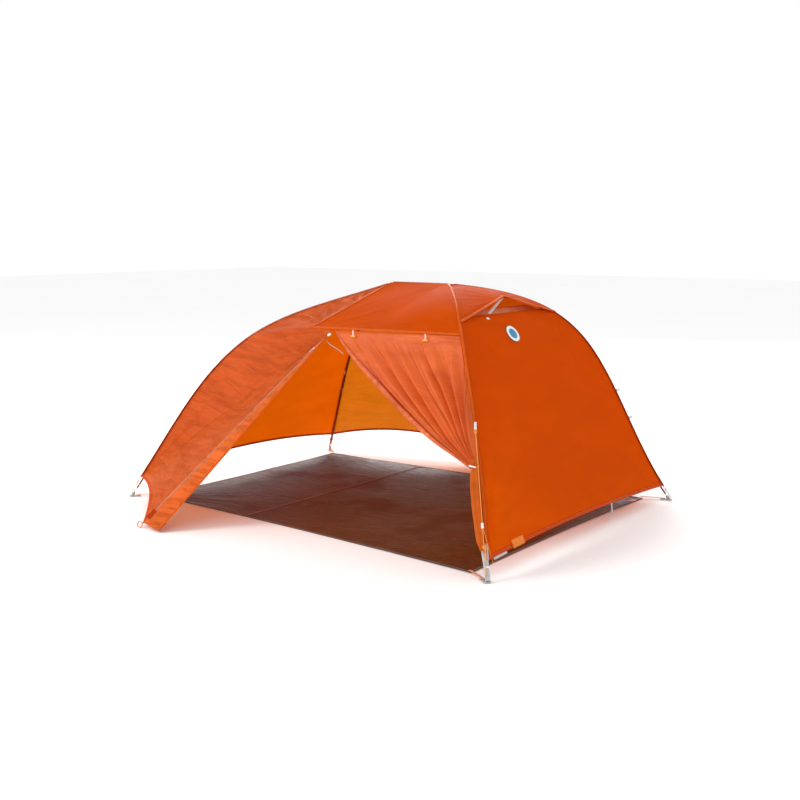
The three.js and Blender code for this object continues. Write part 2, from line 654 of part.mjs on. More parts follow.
function makeGatheredDoor() {
  const cornerAt = 0.72;
  const rows = gridOf(20, 0, 1, (along) => {
    const lastShare = shoulderShare + (tieShare - shoulderShare) * 0.45;
    const edge = along < cornerAt
      ? mix(doorTop(NEAR).add(v3(14, 0, -SEAM_GAP)), shoulder(NEAR).add(v3(-8, -4, -SEAM_GAP)),
        along / cornerAt)
      : legLine(headEnd, NEAR, shoulderShare
        + (lastShare - shoulderShare) * (along - cornerAt) / (1 - cornerAt)).add(v3(-4, -9, -SEAM_GAP));
    const gather = tiePoint().add(v3(-26 + 34 * along, -4, -14 + 28 * along));
    const row = rowBetween(edge, gather, 6, 0, 0);
    row.forEach((point, j) => {
      const down = j / 6;
      const pleat = DOOR_PLEAT * Math.sin(along * Math.PI * 10) * Math.sin(Math.PI * down ** 1.5);
      const sag = DOOR_EDGE_SAG * (1 - along) ** 2 * Math.sin(Math.PI * down ** 0.7);
      point.add(v3(0, -pleat - 10 * Math.sin(Math.PI * down), -sag));
    });
    return row;
  });
  const fan = thicken(rows, PANEL_THICKNESS);
  const top = tiePoint().add(v3(-8, -4, 30));
  const low = legLine(headEnd, NEAR, legShareAtHeight(headEnd, BUNCH_FOOT_HEIGHT)).add(v3(-6, -34, 0));
  const middle = mix(top, low, 0.55).add(v3(-6, -6, 0));
  const bunch = sweep([top, tiePoint().add(v3(-8, -4, -30)), middle, low], BUNCH_RADIUS, 12);
  addPiece('near_gathered_door', join(fan, bunch), sunlitFabric);
}

// --- zips ---------------------------------------------------------------

const zipDirection = (side) => stake(side).sub(doorTop(side)).normalize();
const zipOutward = (side) => {
  const toLeg = legLine(footEnd, side, footHemShare).sub(doorTop(side));
  const normal = zipDirection(side).cross(toLeg).normalize();
  return normal.y * side < 0 ? normal.negate() : normal;
};

function makeZips() {
  for (const [name, side, from] of [['near', NEAR, 0.1], ['far', FAR, 0.06]]) {
    const across = zipDirection(side).cross(zipOutward(side));
    const points = gridOf(2, from, ZIP_END, (share) => zipLine(side, share));
    addPiece(`zip_${name}`, strap(points, ZIP_WIDTH, PANEL_THICKNESS, across), zipNylon);
  }
}

function makeSlider(name, side, share) {
  const centre = zipLine(side, share);
  const basis = new THREE.Matrix4().makeBasis(
    zipDirection(side), zipOutward(side).cross(zipDirection(side)), zipOutward(side));
  const body = new THREE.BoxGeometry(15, 9, 5).translate(0, 0, 2.5 + GAP);
  const bridge = new THREE.BoxGeometry(9, 3, 4).translate(-1, 0, 5 + 2);
  const pull = new THREE.BoxGeometry(30, 6, 1.6).translate(16, 0, 5 + 3.4);
  const geometry = join(body, bridge, pull).applyMatrix4(basis).translate(centre.x, centre.y, centre.z);
  addPiece(`zip_slider_${name}`, geometry, bareMetal);
}

// --- toggles, guy line, webbing and stake loops -------------------------

function makeBrowToggle(name, x) {
  const share = (x - BROW_FOOT_X) / (shoulder(NEAR).x - BROW_FOOT_X);
  const top = mix(browFoot(NEAR), shoulder(NEAR), share).add(v3(0, -26, -4));
  const loop = box(5, 2, 30, top.clone().add(v3(0, 0, -15)));
  const bar = rod(top.clone().add(v3(-13, 0, -31)), top.clone().add(v3(13, 0, -31)), 3.2, 10);
  addPiece(`brow_toggle_${name}`, join(loop, bar), paleTrim);
}

function makeTieToggle() {
  const place = tiePoint();
  const bar = rod(place.clone().add(v3(-20, -26, 4)), place.clone().add(v3(14, -26, 0)), 3.4, 10);
  addPiece('door_tie_toggle', bar, paleTrim);
}

const guyTop = () => legLine(headEnd, NEAR, legShareAtHeight(headEnd, GUY_TAB_HEIGHT)).add(v3(24, -34, 0));
const guyFoot = () => legLine(headEnd, NEAR, legShareAtHeight(headEnd, GUY_FOOT_HEIGHT)).add(v3(20, -42, 0));

function makeGuyLine() {
  const top = guyTop();
  const low = guyFoot();
  const along = low.clone().sub(top).normalize();
  const tabAcross = v3(1, 1, 0);
  addPiece('guy_tab', strap([top.clone().addScaledVector(along, -34).add(v3(-6, 8, 0)), top.clone()
    .addScaledVector(along, -2)], 12, WEB_THICKNESS, tabAcross), paleTrim);
  const lock = mix(top, low, LOCK_SHARE);
  const half = along.clone().multiplyScalar(LOCK_HALF_LENGTH);
  const beyond = half.clone().multiplyScalar(2);
  addPiece('guy_line', sweep(new THREE.LineCurve3(top, low), CORD_RADIUS, 20, 8), orangeCord);
  const body = rod(lock.clone().sub(half), lock.clone().add(half), LOCK_RADIUS, 12);
  const bore = CORD_RADIUS + GAP + 0.2;
  const hole = rod(lock.clone().sub(beyond), lock.clone().add(beyond), bore, 12);
  addPiece('guy_line_lock', cut(body, hole), paleTrim);
}

function makeCornerWebbing(name, end, side) {
  const { seat, inward } = cornerPlate(end, side);
  const hem = legLine(end, side, end === headEnd ? headHemShare : footHemShare);
  const out = legOutward(end, side, 0.95).setZ(0).normalize();
  const start = hem.clone().addScaledVector(out, 2).add(v3(0, 0, -8));
  const finishPoint = v3(seat.x, seat.y, PLATE_THICKNESS + WEB_THICKNESS + GAP).addScaledVector(inward, -15);
  const across = v3(-out.y, out.x, 0);
  const path = [start, mix(start, finishPoint, 0.5).addScaledVector(out, 3), finishPoint.clone()
    .add(v3(0, 0, 5))];
  addPiece(`corner_webbing_${name}`, strap(path, WEB_WIDTH, WEB_THICKNESS, across),
    end === headEnd ? greyWebbing : orangeWebbing);
  const middle = mix(start, path[1], 0.55).addScaledVector(out, -0.8 + BUCKLE_PROUD);
  const buckle = new THREE.BoxGeometry(BUCKLE_THICKNESS, WEB_WIDTH + 8, BUCKLE_LENGTH)
    .rotateZ(Math.atan2(out.y, out.x));
  const slot = strap([mix(start, path[1], -0.4).addScaledVector(out, GAP), mix(start, path[1], 1.4)
    .addScaledVector(out, GAP)], WEB_WIDTH + 2 * GAP, WEB_THICKNESS + 2 * GAP, across);
  addPiece(`corner_buckle_${name}`, cut(buckle.translate(middle.x, middle.y, middle.z), slot), bareMetal);
}

function ringAt(centre, turn, size = 15) {
  return new THREE.TorusGeometry(size, 2, 6, 14).rotateX(Math.PI / 2).rotateZ(turn)
    .translate(centre.x, centre.y, centre.z);
}

function makeStakeLoops() {
  for (const [name, side] of [['near', NEAR], ['far', FAR]]) {
    const place = stake(side).addScaledVector(zipDirection(side), 4).add(v3(0, side * 17, 0));
    addPiece(`stake_loop_${name}`, ringAt(place.setZ(17.2), Math.PI / 2), orangeWebbing);
  }
}

makeGroundSheet();
makePoles();
for (const [name, end, side] of legNames) {
  makeCorner(name, end, side);
  makeCornerWebbing(name, end, side);
}
makeBrowPole();
makeRoof();
makeEndPanels();
makeVent();
makeNearSide();
makeFarSide();
makeGatheredDoor();
makeZips();
makeSlider('near', NEAR, 0.1);
makeSlider('far', FAR, 0.93);
makeBrowToggle('foot', BROW_TOGGLE_X[0]);
makeBrowToggle('head', BROW_TOGGLE_X[1]);
makeTieToggle();
makeGuyLine();
makeStakeLoops();

export default group;
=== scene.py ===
# Three-person tent: cloth, seams, zips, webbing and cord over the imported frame. Metres, +Z up.
import bpy
import bmesh
import math
from mathutils import Matrix, Vector, noise
from mathutils.kdtree import KDTree


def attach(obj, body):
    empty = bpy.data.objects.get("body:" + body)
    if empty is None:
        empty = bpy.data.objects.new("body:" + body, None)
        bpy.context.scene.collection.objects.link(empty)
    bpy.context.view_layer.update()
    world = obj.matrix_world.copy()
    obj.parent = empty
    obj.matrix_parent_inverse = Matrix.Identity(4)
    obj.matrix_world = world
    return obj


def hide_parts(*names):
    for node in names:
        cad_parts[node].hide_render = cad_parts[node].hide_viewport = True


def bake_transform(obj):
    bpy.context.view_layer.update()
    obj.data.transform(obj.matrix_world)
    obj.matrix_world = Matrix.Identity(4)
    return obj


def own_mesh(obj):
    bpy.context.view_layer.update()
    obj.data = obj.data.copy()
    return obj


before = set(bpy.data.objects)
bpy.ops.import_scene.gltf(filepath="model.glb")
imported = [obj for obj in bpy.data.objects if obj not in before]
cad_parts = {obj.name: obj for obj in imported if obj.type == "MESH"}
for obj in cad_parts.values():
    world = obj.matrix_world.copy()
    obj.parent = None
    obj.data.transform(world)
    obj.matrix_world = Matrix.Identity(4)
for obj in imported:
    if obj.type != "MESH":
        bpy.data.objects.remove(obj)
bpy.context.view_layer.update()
bpy.ops.object.select_all(action='DESELECT')

NEAR, FAR = -1, 1
INSIDE = Vector((0.19, 0, 0.37))
BELOW = Vector((0, 0, -9))

# --- camera ---

camera = bpy.data.objects.new("camera", bpy.data.cameras.new("camera"))
bpy.context.collection.objects.link(camera)
camera.data.lens = 49.5
camera.location = (3.82, -4.89, 1.53)
YAW, PITCH = math.radians(127.6), math.radians(8.72)
aim = Vector((math.cos(PITCH) * math.cos(YAW), math.cos(PITCH) * math.sin(YAW), -math.sin(PITCH)))
camera.rotation_euler = aim.to_track_quat('-Z', 'Y').to_euler()
bpy.context.scene.camera = camera
bpy.context.scene.view_settings.view_transform = 'Standard'

# --- lines of the tent, the same as the model's ---

PEAK = 1.25
HEAD = {"hub": 0.382, "foot": (1.29, 0.977), "arch": [
    (0, 0, 1), (0.415, 0.433, 0.957), (0.573, 0.673, 0.852), (0.696, 0.712, 0.619), (0.818, 0.753, 0.292),
    (1, 1, 0)]}
FOOT = {"hub": 0.005, "foot": (-1.267, 0.8875), "arch": [
    (0, 0, 1), (0.276, 0.336, 0.878), (0.502, 0.559, 0.842), (0.657, 0.69, 0.696), (0.781, 0.802, 0.382),
    (1, 1, 0)]}
LEGS = {"head_near": (HEAD, NEAR), "head_far": (HEAD, FAR),
        "foot_near": (FOOT, NEAR), "foot_far": (FOOT, FAR)}


def leg(end, side, share):
    """A point of the fly over a leg: share 0 at the hub, 1 on the ground."""
    line = [Vector((end["hub"] + (end["foot"][0] - end["hub"]) * a, side * end["foot"][1] * b, PEAK * c))
            for a, b, c in end["arch"]]
    while len(line) > 1:
        line = [p.lerp(q, share) for p, q in zip(line, line[1:])]
    return line[0]


def share_at(end, height):
    low, high = 0.0, 1.0
    for _ in range(40):
        middle = (low + high) / 2
        if leg(end, NEAR, middle).z > height:
            low = middle
        else:
            high = middle
    return low


def leg_out(end, side, share):
    step = 0.01
    along = leg(end, side, min(share + step, 1)) - leg(end, side, max(share - step, 0))
    plan = Vector((end["foot"][0] - end["hub"], side * end["foot"][1], 0)).normalized()
    return (Vector((0, 0, plan.dot(along))) - plan * along.z).normalized()


VENT_SHARE = share_at(HEAD, 1.085)
VENT_MIDDLE = VENT_SHARE * 0.84
HEAD_TOP = VENT_SHARE * 0.9
SHOULDER = share_at(HEAD, 1.038)
BROW_SHARE = share_at(FOOT, 0.985)
DOOR_SHARE = BROW_SHARE + 0.06
HEAD_HEM_HEIGHT, FOOT_HEM_HEIGHT = 0.088, 0.12
HEAD_HEM = share_at(HEAD, HEAD_HEM_HEIGHT)
FOOT_HEM = share_at(FOOT, FOOT_HEM_HEIGHT)
FOOT_TOP = 0.004
TIE_SHARE = share_at(HEAD, 0.472)


def brow_foot(side):
    return Vector((-0.15, side * 0.5, 1.022))


def door_top(side):
    return Vector((0, side * 0.508, 1.016))


def stake(side):
    return Vector((-0.66 if side == NEAR else 0.12, side * 1.278, 0.016))


def zip_line(side, share):
    return door_top(side).lerp(stake(side), share)


def fold_line(side, share):
    return door_top(side).lerp(leg(FOOT, side, FOOT_HEM), share)


def bow(across):
    return 4 * across * (1 - across)


def steps(count, start=0.0, end=1.0):
    return [start + (end - start) * i / count for i in range(count + 1)]


def unit(vector):
    return vector.normalized()


# --- making meshes ---


def only(obj):
    bpy.ops.object.select_all(action='DESELECT')
    obj.select_set(True)
    bpy.context.view_layer.objects.active = obj


def finish_mesh(obj, *modifiers):
    """Adds the modifiers, each (kind, settings), and applies them in order."""
    only(obj)
    for kind, settings in modifiers:
        modifier = obj.modifiers.new(kind.lower(), kind)
        for key, value in settings.items():
            setattr(modifier, key, value)
        bpy.ops.object.modifier_apply(modifier=modifier.name)


def wear(obj, look):
    obj.data.materials.clear()
    obj.data.materials.append(look)
    return obj


def settle(obj, look):
    """Puts the object's place into its mesh, smooths it and gives it its finish."""
    only(obj)
    bpy.ops.object.transform_apply(location=True, rotation=True, scale=True)
    bpy.ops.object.shade_smooth_by_angle(angle=math.radians(35))
    return wear(obj, look)


def soften(obj, look):
    """Smooths every face of a piece of cloth and gives it its finish."""
    for polygon in obj.data.polygons:
        polygon.use_smooth = True
    return wear(obj, look)


def heal(obj, weld=None, close=False):
    """Turns the faces outward, after welding close points or closing open ends."""
    build = bmesh.new()
    build.from_mesh(obj.data)
    if weld:
        bmesh.ops.remove_doubles(build, verts=build.verts, dist=weld)
    if close:
        bmesh.ops.holes_fill(build, edges=[e for e in build.edges if e.is_boundary])
    bmesh.ops.recalc_face_normals(build, faces=build.faces)
    build.to_mesh(obj.data)
    build.free()


def dressed(obj, body, slot, *nodes):
    """Puts a piece on its body, in place of its solids; the slot is not used."""
    if body:
        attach(obj, body)
    if nodes:
        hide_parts(*nodes)
    return obj


def mesh_of_grids(name, grids, maps):
    """One mesh from grids of points that share edges, with the cloth's own map in metres."""
    build = bmesh.new()
    layer = build.loops.layers.uv.new("cloth")
    for rows, plan in zip(grids, maps):
        points = [[build.verts.new(p) for p in row] for row in rows]
        for i in range(len(rows) - 1):
            for j in range(len(rows[0]) - 1):
                corners = [(i, j), (i + 1, j), (i + 1, j + 1), (i, j + 1)]
                face = build.faces.new([points[a][b] for a, b in corners])
                for loop, (a, b) in zip(face.loops, corners):
                    loop[layer].uv = plan[a][b]
    bmesh.ops.remove_doubles(build, verts=build.verts, dist=2e-5)
    mesh = bpy.data.meshes.new(name)
    build.to_mesh(mesh)
    build.free()
    obj = bpy.data.objects.new(name, mesh)
    bpy.context.collection.objects.link(obj)
    return obj


def panel_plane(grids):
    """The mean facing of a panel, and two directions in it for its map."""
    facing = Vector((0, 0, 0))
    middle = Vector((0, 0, 0))
    count = 0
    for rows in grids:
        for upper, lower in zip(rows, rows[1:]):
            for j in range(len(upper) - 1):
                facing += (lower[j + 1] - upper[j]).cross(upper[j + 1] - lower[j])
                middle += upper[j]
                count += 1
    facing = unit(facing)
    middle /= count
    if facing.dot(middle - INSIDE) < 0:
        facing = -facing
    level = facing.cross(Vector((0, 0, 1)))
    level = unit(level) if level.length > 0.1 else Vector((1, 0, 0))
    return facing, level, facing.cross(level)


def smooth(value):
    value = min(max(value, 0.0), 1.0)
    return value * value * (3 - 2 * value)


def cut_size(points, area):
    """The smallest rectangle that the cut fits in, and its area."""
    best = None
    for turn in range(0, 90, 3):
        c, s = math.cos(math.radians(turn)), math.sin(math.radians(turn))
        across = [c * u + s * v for u, v in points]
        along = [c * v - s * u for u, v in points]
        size = (max(across) - min(across), max(along) - min(along))
        if best is None or size[0] * size[1] < best[0] * best[1]:
            best = size
    return best, min(area, best[0] * best[1])


def cloth(name, grids, look, held_at=(), pulls=(), ripple=0.0, roll=0.0, seed=1.0, thickness=0.0011,
          inward=True, hold=0.07):
    """One sheet of cloth: flat at the lines that hold it, with creases that run from where it is pulled."""
    facing, level, up = panel_plane(grids)
    tree = KDTree(sum(len(line) for line in held_at) or 1)
    count = 0
    for line in held_at:
        for p in line:
            tree.insert(p, count)
            count += 1
    if count == 0:
        tree.insert(Vector((9, 9, 9)), 0)
    tree.balance()
    shaped, maps, flat_points = [], [], []
    for rows in grids:
        new_rows, plan = [], []
        for row in rows:
            new_row, flat_row = [], []
            for p in row:
                u, v = p.dot(level), p.dot(up)
                height = 0.0
                for place, reach, deep, folds in pulls:
                    du, dv = u - place.dot(level), v - place.dot(up)
                    far = math.hypot(du, dv)
                    turn = math.atan2(dv, du)
                    wander = noise.noise(Vector((turn * folds * 0.3 + seed, far * 2.2, seed)))
                    ridge = (0.5 + 0.5 * math.cos(turn * folds + 4 * wander)) ** 2.4 - 0.3
                    height += deep * ridge * math.exp(-(far / reach) ** 2) * min(1.0, far / 0.15)
                height += ripple * noise.fractal(Vector((u * 3 + seed, v * 3, seed)), 0.9, 2.1, 3)
                height += roll * noise.noise(Vector((u * 1.1 + seed, v * 1.1, seed * 2)))
                free = smooth(tree.find(p)[2] / hold)
                new_row.append(p + facing * height * free)
                flat_row.append((u, v))
            new_rows.append(new_row)
            plan.append(flat_row)
            flat_points += flat_row
        shaped.append(new_rows)
        maps.append(plan)
    obj = mesh_of_grids(name, shaped, maps)
    face = obj.data.polygons[len(obj.data.polygons) // 2]
    if face.normal.dot(facing) < 0:
        obj.data.flip_normals()
    area = sum(f.area for f in obj.data.polygons)
    size, cut_area = cut_size(flat_points, area)
    finish_mesh(obj, ('SOLIDIFY', {"thickness": thickness, "offset": -1.0 if inward else 0.0}))
    return soften(obj, look), size, cut_area


def tape(name, line, across, width, look, thickness=0.0012, lift=0.0, lanes=4, crown=0.0, away=INSIDE):
    """A narrow strip of cloth or webbing along a line; across is one direction or one for each point."""
    rows, plan, walked = [], [], 0.0
    sides = across if isinstance(across, list) else [across] * len(line)
    for i, (p, side) in enumerate(zip(line, sides)):
        ahead = line[min(i + 1, len(line) - 1)] - line[max(i - 1, 0)]
        facing = unit(ahead.cross(side))
        if facing.dot(p - away) < 0:
            facing = -facing
        side = unit(facing.cross(ahead))
        if i:
            walked += (p - line[i - 1]).length
        rows.append([p + side * width * (j / lanes - 0.5) + facing * (lift + crown * bow(j / lanes))
                     for j in range(lanes + 1)])
        plan.append([(width * (j / lanes - 0.5), walked) for j in range(lanes + 1)])
    obj = mesh_of_grids(name, [rows], [plan])
    middle = obj.data.polygons[len(obj.data.polygons) // 2]
    if middle.normal.dot(Vector(middle.center) - away) < 0:
        obj.data.flip_normals()
    finish_mesh(obj, ('SOLIDIFY', {"thickness": thickness, "offset": 0.0}))
    return soften(obj, look)


def tube(name, line, radius, look, sides=12):
    """A round tube along a line of points, closed at its ends."""
    bpy.ops.object.select_all(action='DESELECT')
    bpy.ops.curve.primitive_nurbs_path_add()
    obj = bpy.context.object
    obj.name = name
    obj.data.name = name
    obj.data.splines.clear()
    spline = obj.data.splines.new('POLY')
    spline.points.add(len(line) - 1)
    for point, p in zip(spline.points, line):
        point.co = (*p, 1)
    obj.data.bevel_depth = radius
    obj.data.bevel_resolution = max(sides // 4 - 1, 0)
    obj.data.use_fill_caps = True
    bpy.ops.object.convert(target='MESH')
    obj = bpy.context.object
    heal(obj, weld=1e-6)
    return settle(obj, look)


def rounded_rod(name, start, end, radius, look, bevel=0.4):
    """A short bar with rounded ends."""
    bpy.ops.mesh.primitive_cylinder_add(vertices=20, radius=radius, depth=(end - start).length)
    obj = bpy.context.object
    obj.name = name
    finish_mesh(obj, ('BEVEL', {"width": radius * bevel, "segments": 3, "limit_method": 'ANGLE'}))
    obj.matrix_world = Matrix.Translation((start + end) / 2) @ (
        end - start).to_track_quat('Z', 'Y').to_matrix().to_4x4()
    return settle(obj, look)


def merge(target, *others):
    only(target)
    for other in others:
        other.select_set(True)
    bpy.ops.object.join()
    return target

# --- finishes ---


class Tree:
    """A node tree being built. An input takes a socket, which is linked, or a value, which is set."""

    def __init__(self, tree):
        self.tree = tree

    def put(self, value, socket):
        if isinstance(value, bpy.types.NodeSocket):
            self.tree.links.new(value, socket)
        else:
            socket.default_value = (*value, 1) if socket.type == 'RGBA' else value

    def add(self, kind, inputs=(), **settings):
        node = self.tree.nodes.new('ShaderNode' + kind)
        for key, value in settings.items():
            setattr(node, key, value)
        for key, value in dict(inputs).items():
            self.put(value, node.inputs[key])
        return node

    def sums(self, operation, *values):
        return self.add('Math', enumerate(values), operation=operation).outputs[0]

    def product(self, *values):
        return self.sums('MULTIPLY', *values)

    def scaled(self, vector, factor):
        return self.add('VectorMath', {0: vector, 1: factor}, operation='MULTIPLY').outputs[0]

    def noise(self, vector, scale, detail=3.0, rough=0.5, warp=0.0):
        return self.add('TexNoise', {"Vector": vector, "Scale": scale, "Detail": detail, "Roughness": rough,
                                     "Distortion": warp}).outputs["Fac"]

    def spread(self, value, low, high, start=0.0, end=1.0):
        return self.add('MapRange', enumerate((value, low, high, start, end))).outputs[0]

    def axes(self, vector):
        return self.add('SeparateXYZ', {0: vector}).outputs

    def in_cell(self, value, pitch):
        return self.sums('FRACT', self.sums('DIVIDE', value, pitch))

    def off_middle(self, value, middle=0.5):
        return self.sums('ABSOLUTE', self.sums('SUBTRACT', value, middle))


class Effect(Tree):
    """A shared node group: a vector and numbers go in, numbers come out."""

    def __init__(self, name, numbers, results):
        super().__init__(bpy.data.node_groups.new(name, 'ShaderNodeTree'))
        face = self.tree.interface
        face.new_socket("Vector", in_out='INPUT', socket_type='NodeSocketVector')
        for label, value in numbers.items():
            face.new_socket(label, in_out='INPUT', socket_type='NodeSocketFloat').default_value = value
        for label in results:
            face.new_socket(label, in_out='OUTPUT', socket_type='NodeSocketFloat')
        self.given = self.tree.nodes.new('NodeGroupInput').outputs
        self.results = self.tree.nodes.new('NodeGroupOutput').inputs

    def give(self, **results):
        for label, value in results.items():
            self.put(value, self.results[label])
        return self.tree


def ripstop():
    """Fine plain weave with a thicker thread every few millimetres both ways."""
    make = Effect("ripstop weave", {"Cell": 0.005}, ("Thread", "Height"))
    both = make.axes(make.given["Vector"])[:2]
    rib = make.sums('MAXIMUM', *[
        make.spread(make.off_middle(make.in_cell(axis, make.given["Cell"])), 0.42, 0.49) for axis in both])
    weave = make.product(*[make.sums('SINE', make.product(axis, 9000.0)) for axis in both])
    return make.give(Thread=rib, Height=make.sums('MULTIPLY_ADD', weave, 0.25, rib))


def crumple():
    """Soft creases of thin coated cloth: long shallow ones and short sharp ones, and a Shade mask that is low
    in the hollows of the long ones.
    """
    make = Effect("cloth creases", {"Sharp": 0.5}, ("Height", "Shade"))
    vector = make.given["Vector"]
    broad = make.noise(make.scaled(vector, (2.2, 5.5, 1.0)), 1.6, 3.0, 0.45, 0.6)
    lines = make.noise(make.scaled(vector, (3.0, 14.0, 1.0)), 1.5, 4.0, 0.55, 1.2)
    ridge = make.sums('SUBTRACT', 1.0, make.sums('ABSOLUTE', make.sums('MULTIPLY_ADD', lines, 2.0, -1.0)))
    height = make.sums('MULTIPLY_ADD', make.sums('POWER', ridge, 5.0), make.given["Sharp"], broad)
    # Colour that follows Shade is darker in the low parts of the creases: painted shade.
    return make.give(Height=height, Shade=make.spread(broad, 0.3, 0.7))


def webbing_weave():
    """Ribs across a woven strap, with a twill slant."""
    make = Effect("webbing weave", {"Rib": 0.0018}, ("Height", "Groove"))
    across, along = make.axes(make.given["Vector"])[:2]
    slant = make.sums('MULTIPLY_ADD', make.sums('ABSOLUTE', across), 0.8, along)
    wave = make.sums('SINE', make.product(make.in_cell(slant, make.given["Rib"]), math.pi))
    # Groove is low between the ribs; the straps colour it darker there, which is painted shade.
    return make.give(Height=wave, Groove=make.spread(wave, 0.1, 0.6))


def stitches():
    """Two rows of stitches along a tape, at a distance from its middle."""
    make = Effect("stitch rows", {"From middle": 0.004, "Pitch": 0.004}, ("Stitch",))
    across, along = make.axes(make.given["Vector"])[:2]
    away = make.off_middle(make.sums('ABSOLUTE', across), make.given["From middle"])
    row = make.spread(away, 0.0004, 0.0008, 1.0, 0.0)
    dash = make.spread(make.off_middle(make.in_cell(along, make.given["Pitch"])), 0.3, 0.38, 1.0, 0.0)
    return make.give(Stitch=make.product(row, dash))


def handling():
    """Faint dust and rubbed patches."""
    make = Effect("handling marks", {"Scale": 6.0}, ("Dust", "Rub"))
    marks = (("Dust", 0.48, 0.75, 6.0), ("Rub", 0.52, 0.62, 9.0))
    return make.give(**{
        label: make.spread(make.noise(make.given["Vector"], make.given["Scale"], detail), low, high)
        for label, low, high, detail in marks})


RIPSTOP, CRUMPLE, WEBBING, STITCHES, HANDLING = ripstop(), crumple(), webbing_weave(), stitches(), handling()


class Finish(Tree):
    """A material being built, with its shader and the last normal."""

    def __init__(self, name, roughness, metallic=0.0, **settings):
        self.material = bpy.data.materials.new(name)
        self.material.use_nodes = True
        super().__init__(self.material.node_tree)
        self.shader = self.tree.nodes["Principled BSDF"]
        self.normal = None
        self.set(Roughness=roughness, Metallic=metallic, **settings)

    def set(self, **values):
        for key, value in values.items():
            self.put(value, self.shader.inputs[key.replace("_", " ")])

    def cloth_map(self):
        return self.add('UVMap', uv_map="cloth").outputs[0]

    def place(self):
        return self.add('TexCoord').outputs["Object"]

    def effect(self, group, vector, **values):
        node = self.add('Group', node_tree=group)
        for key, value in {"Vector": vector, **values}.items():
            self.put(value, node.inputs[key.replace("_", " ")])
        return node.outputs

    def blend(self, mask, first, second, strength=1.0):
        if strength != 1.0:
            mask = self.product(mask, strength)
        return self.add('Mix', {0: mask, 6: first, 7: second}, data_type='RGBA').outputs[2]

    def relief(self, height, depth):
        under = {"Normal": self.normal} if self.normal is not None else {}
        self.normal = self.add('Bump', {"Strength": 1.0, "Distance": depth, "Height": height, **under}
                               ).outputs["Normal"]
        self.set(Normal=self.normal)

    def gloss(self, mask, low, high):
        self.set(Roughness=self.spread(mask, 0.0, 1.0, low, high))

    def glow_through(self, source, share):
        """Lets a share of the light through the cloth."""
        through = self.add('BsdfTranslucent', {"Color": source}).outputs[0]
        both = self.add('MixShader', {0: share, 1: self.shader.outputs[0], 2: through}).outputs[0]
        self.put(both, self.tree.nodes["Material Output"].inputs[0])


def fly_cloth(name, colour, deep, pale, glow, shine=0.2, through=0.5, relief=0.006, sharp=0.5):
    made = Finish(name, 0.46, Specular_IOR_Level=shine)
    vector = made.cloth_map()
    crease = made.effect(CRUMPLE, vector, Sharp=sharp)
    weave = made.effect(RIPSTOP, vector, Cell=0.005)
    marks = made.effect(HANDLING, vector, Scale=3.0)
    # Deep colour in the low parts of the creases: painted shade.
    tone = made.blend(crease["Shade"], deep, colour)
    tone = made.blend(weave["Thread"], tone, pale, 0.22)
    made.set(Base_Color=made.blend(marks["Dust"], tone, pale, 0.08))
    made.gloss(marks["Rub"], 0.40, 0.50)
    made.relief(crease["Height"], relief)
    made.relief(weave["Height"], 0.00012)
    # The glow colour is also a little darker in the crease hollows: painted shade.
    made.glow_through(made.blend(crease["Shade"], tuple(c * 0.93 for c in glow), glow), through)
    return made.material


def tape_cloth(name, colour, deep, thread, from_middle, through=0.12):
    made = Finish(name, 0.5, Specular_IOR_Level=0.03)
    vector = made.cloth_map()
    stitch = made.effect(STITCHES, vector, From_middle=from_middle, Pitch=0.004)["Stitch"]
    weave = made.effect(WEBBING, vector, Rib=0.0011)
    marks = made.effect(HANDLING, vector, Scale=30.0)
    tone = made.blend(stitch, made.blend(marks["Dust"], colour, deep), thread)
    made.set(Base_Color=tone)
    made.gloss(marks["Rub"], 0.45, 0.6)
    made.relief(weave["Height"], 0.00015)
    made.relief(stitch, 0.0005)
    made.glow_through(tone, through)
    return made.material


def strap_cloth(name, colour, deep, sheen=0.3):
    made = Finish(name, 0.62, Specular_IOR_Level=0.25, Sheen_Weight=sheen)
    weave = made.effect(WEBBING, made.cloth_map(), Rib=0.0018)
    marks = made.effect(HANDLING, made.place(), Scale=45.0)
    # Deep colour in the grooves between the ribs is painted shade; the dust mark on top is real.
    made.set(Base_Color=made.blend(marks["Dust"], made.blend(weave["Groove"], deep, colour), deep, 0.4))
    made.gloss(marks["Rub"], 0.55, 0.72)
    made.relief(weave["Height"], 0.0005)
    return made.material


def moulded(name, colour, deep, roughness=0.42, grain=260.0):
    made = Finish(name, roughness, Specular_IOR_Level=0.5)
    vector = made.place()
    marks = made.effect(HANDLING, vector, Scale=60.0)
    made.set(Base_Color=made.blend(marks["Dust"], colour, deep, 0.6))
    made.gloss(marks["Rub"], roughness - 0.06, roughness + 0.12)
    made.relief(made.noise(vector, grain, 4.0), 0.0002)
    return made.material


def metal(name, colour, deep, roughness):
    made = Finish(name, roughness, 1.0)
    vector = made.place()
    marks = made.effect(HANDLING, vector, Scale=35.0)
    made.set(Base_Color=made.blend(marks["Rub"], colour, deep, 0.7))
    made.gloss(marks["Dust"], roughness, roughness + 0.2)
    made.relief(made.noise(made.scaled(vector, (900.0, 900.0, 40.0)), 1.0), 0.00008)
    return made.material


def ground_cloth():
    made = Finish("ground sheet cloth", 0.45, Specular_IOR_Level=0.22)
    vector = made.cloth_map()
    crease = made.effect(CRUMPLE, vector, Sharp=0.8)
    weave = made.effect(RIPSTOP, vector, Cell=0.006)
    marks = made.effect(HANDLING, vector, Scale=2.5)
    # Darker brown in the low parts of the creases: painted shade.
    tone = made.blend(crease["Shade"], (0.070, 0.018, 0.0035), (0.100, 0.028, 0.007))
    tone = made.blend(marks["Dust"], tone, (0.15, 0.06, 0.03), 0.3)
    made.set(Base_Color=made.blend(weave["Thread"], tone, (0.13, 0.045, 0.02), 0.25))
    made.gloss(marks["Rub"], 0.42, 0.55)
    made.relief(crease["Height"], 0.004)
    made.relief(weave["Height"], 0.00015)
    return made.material


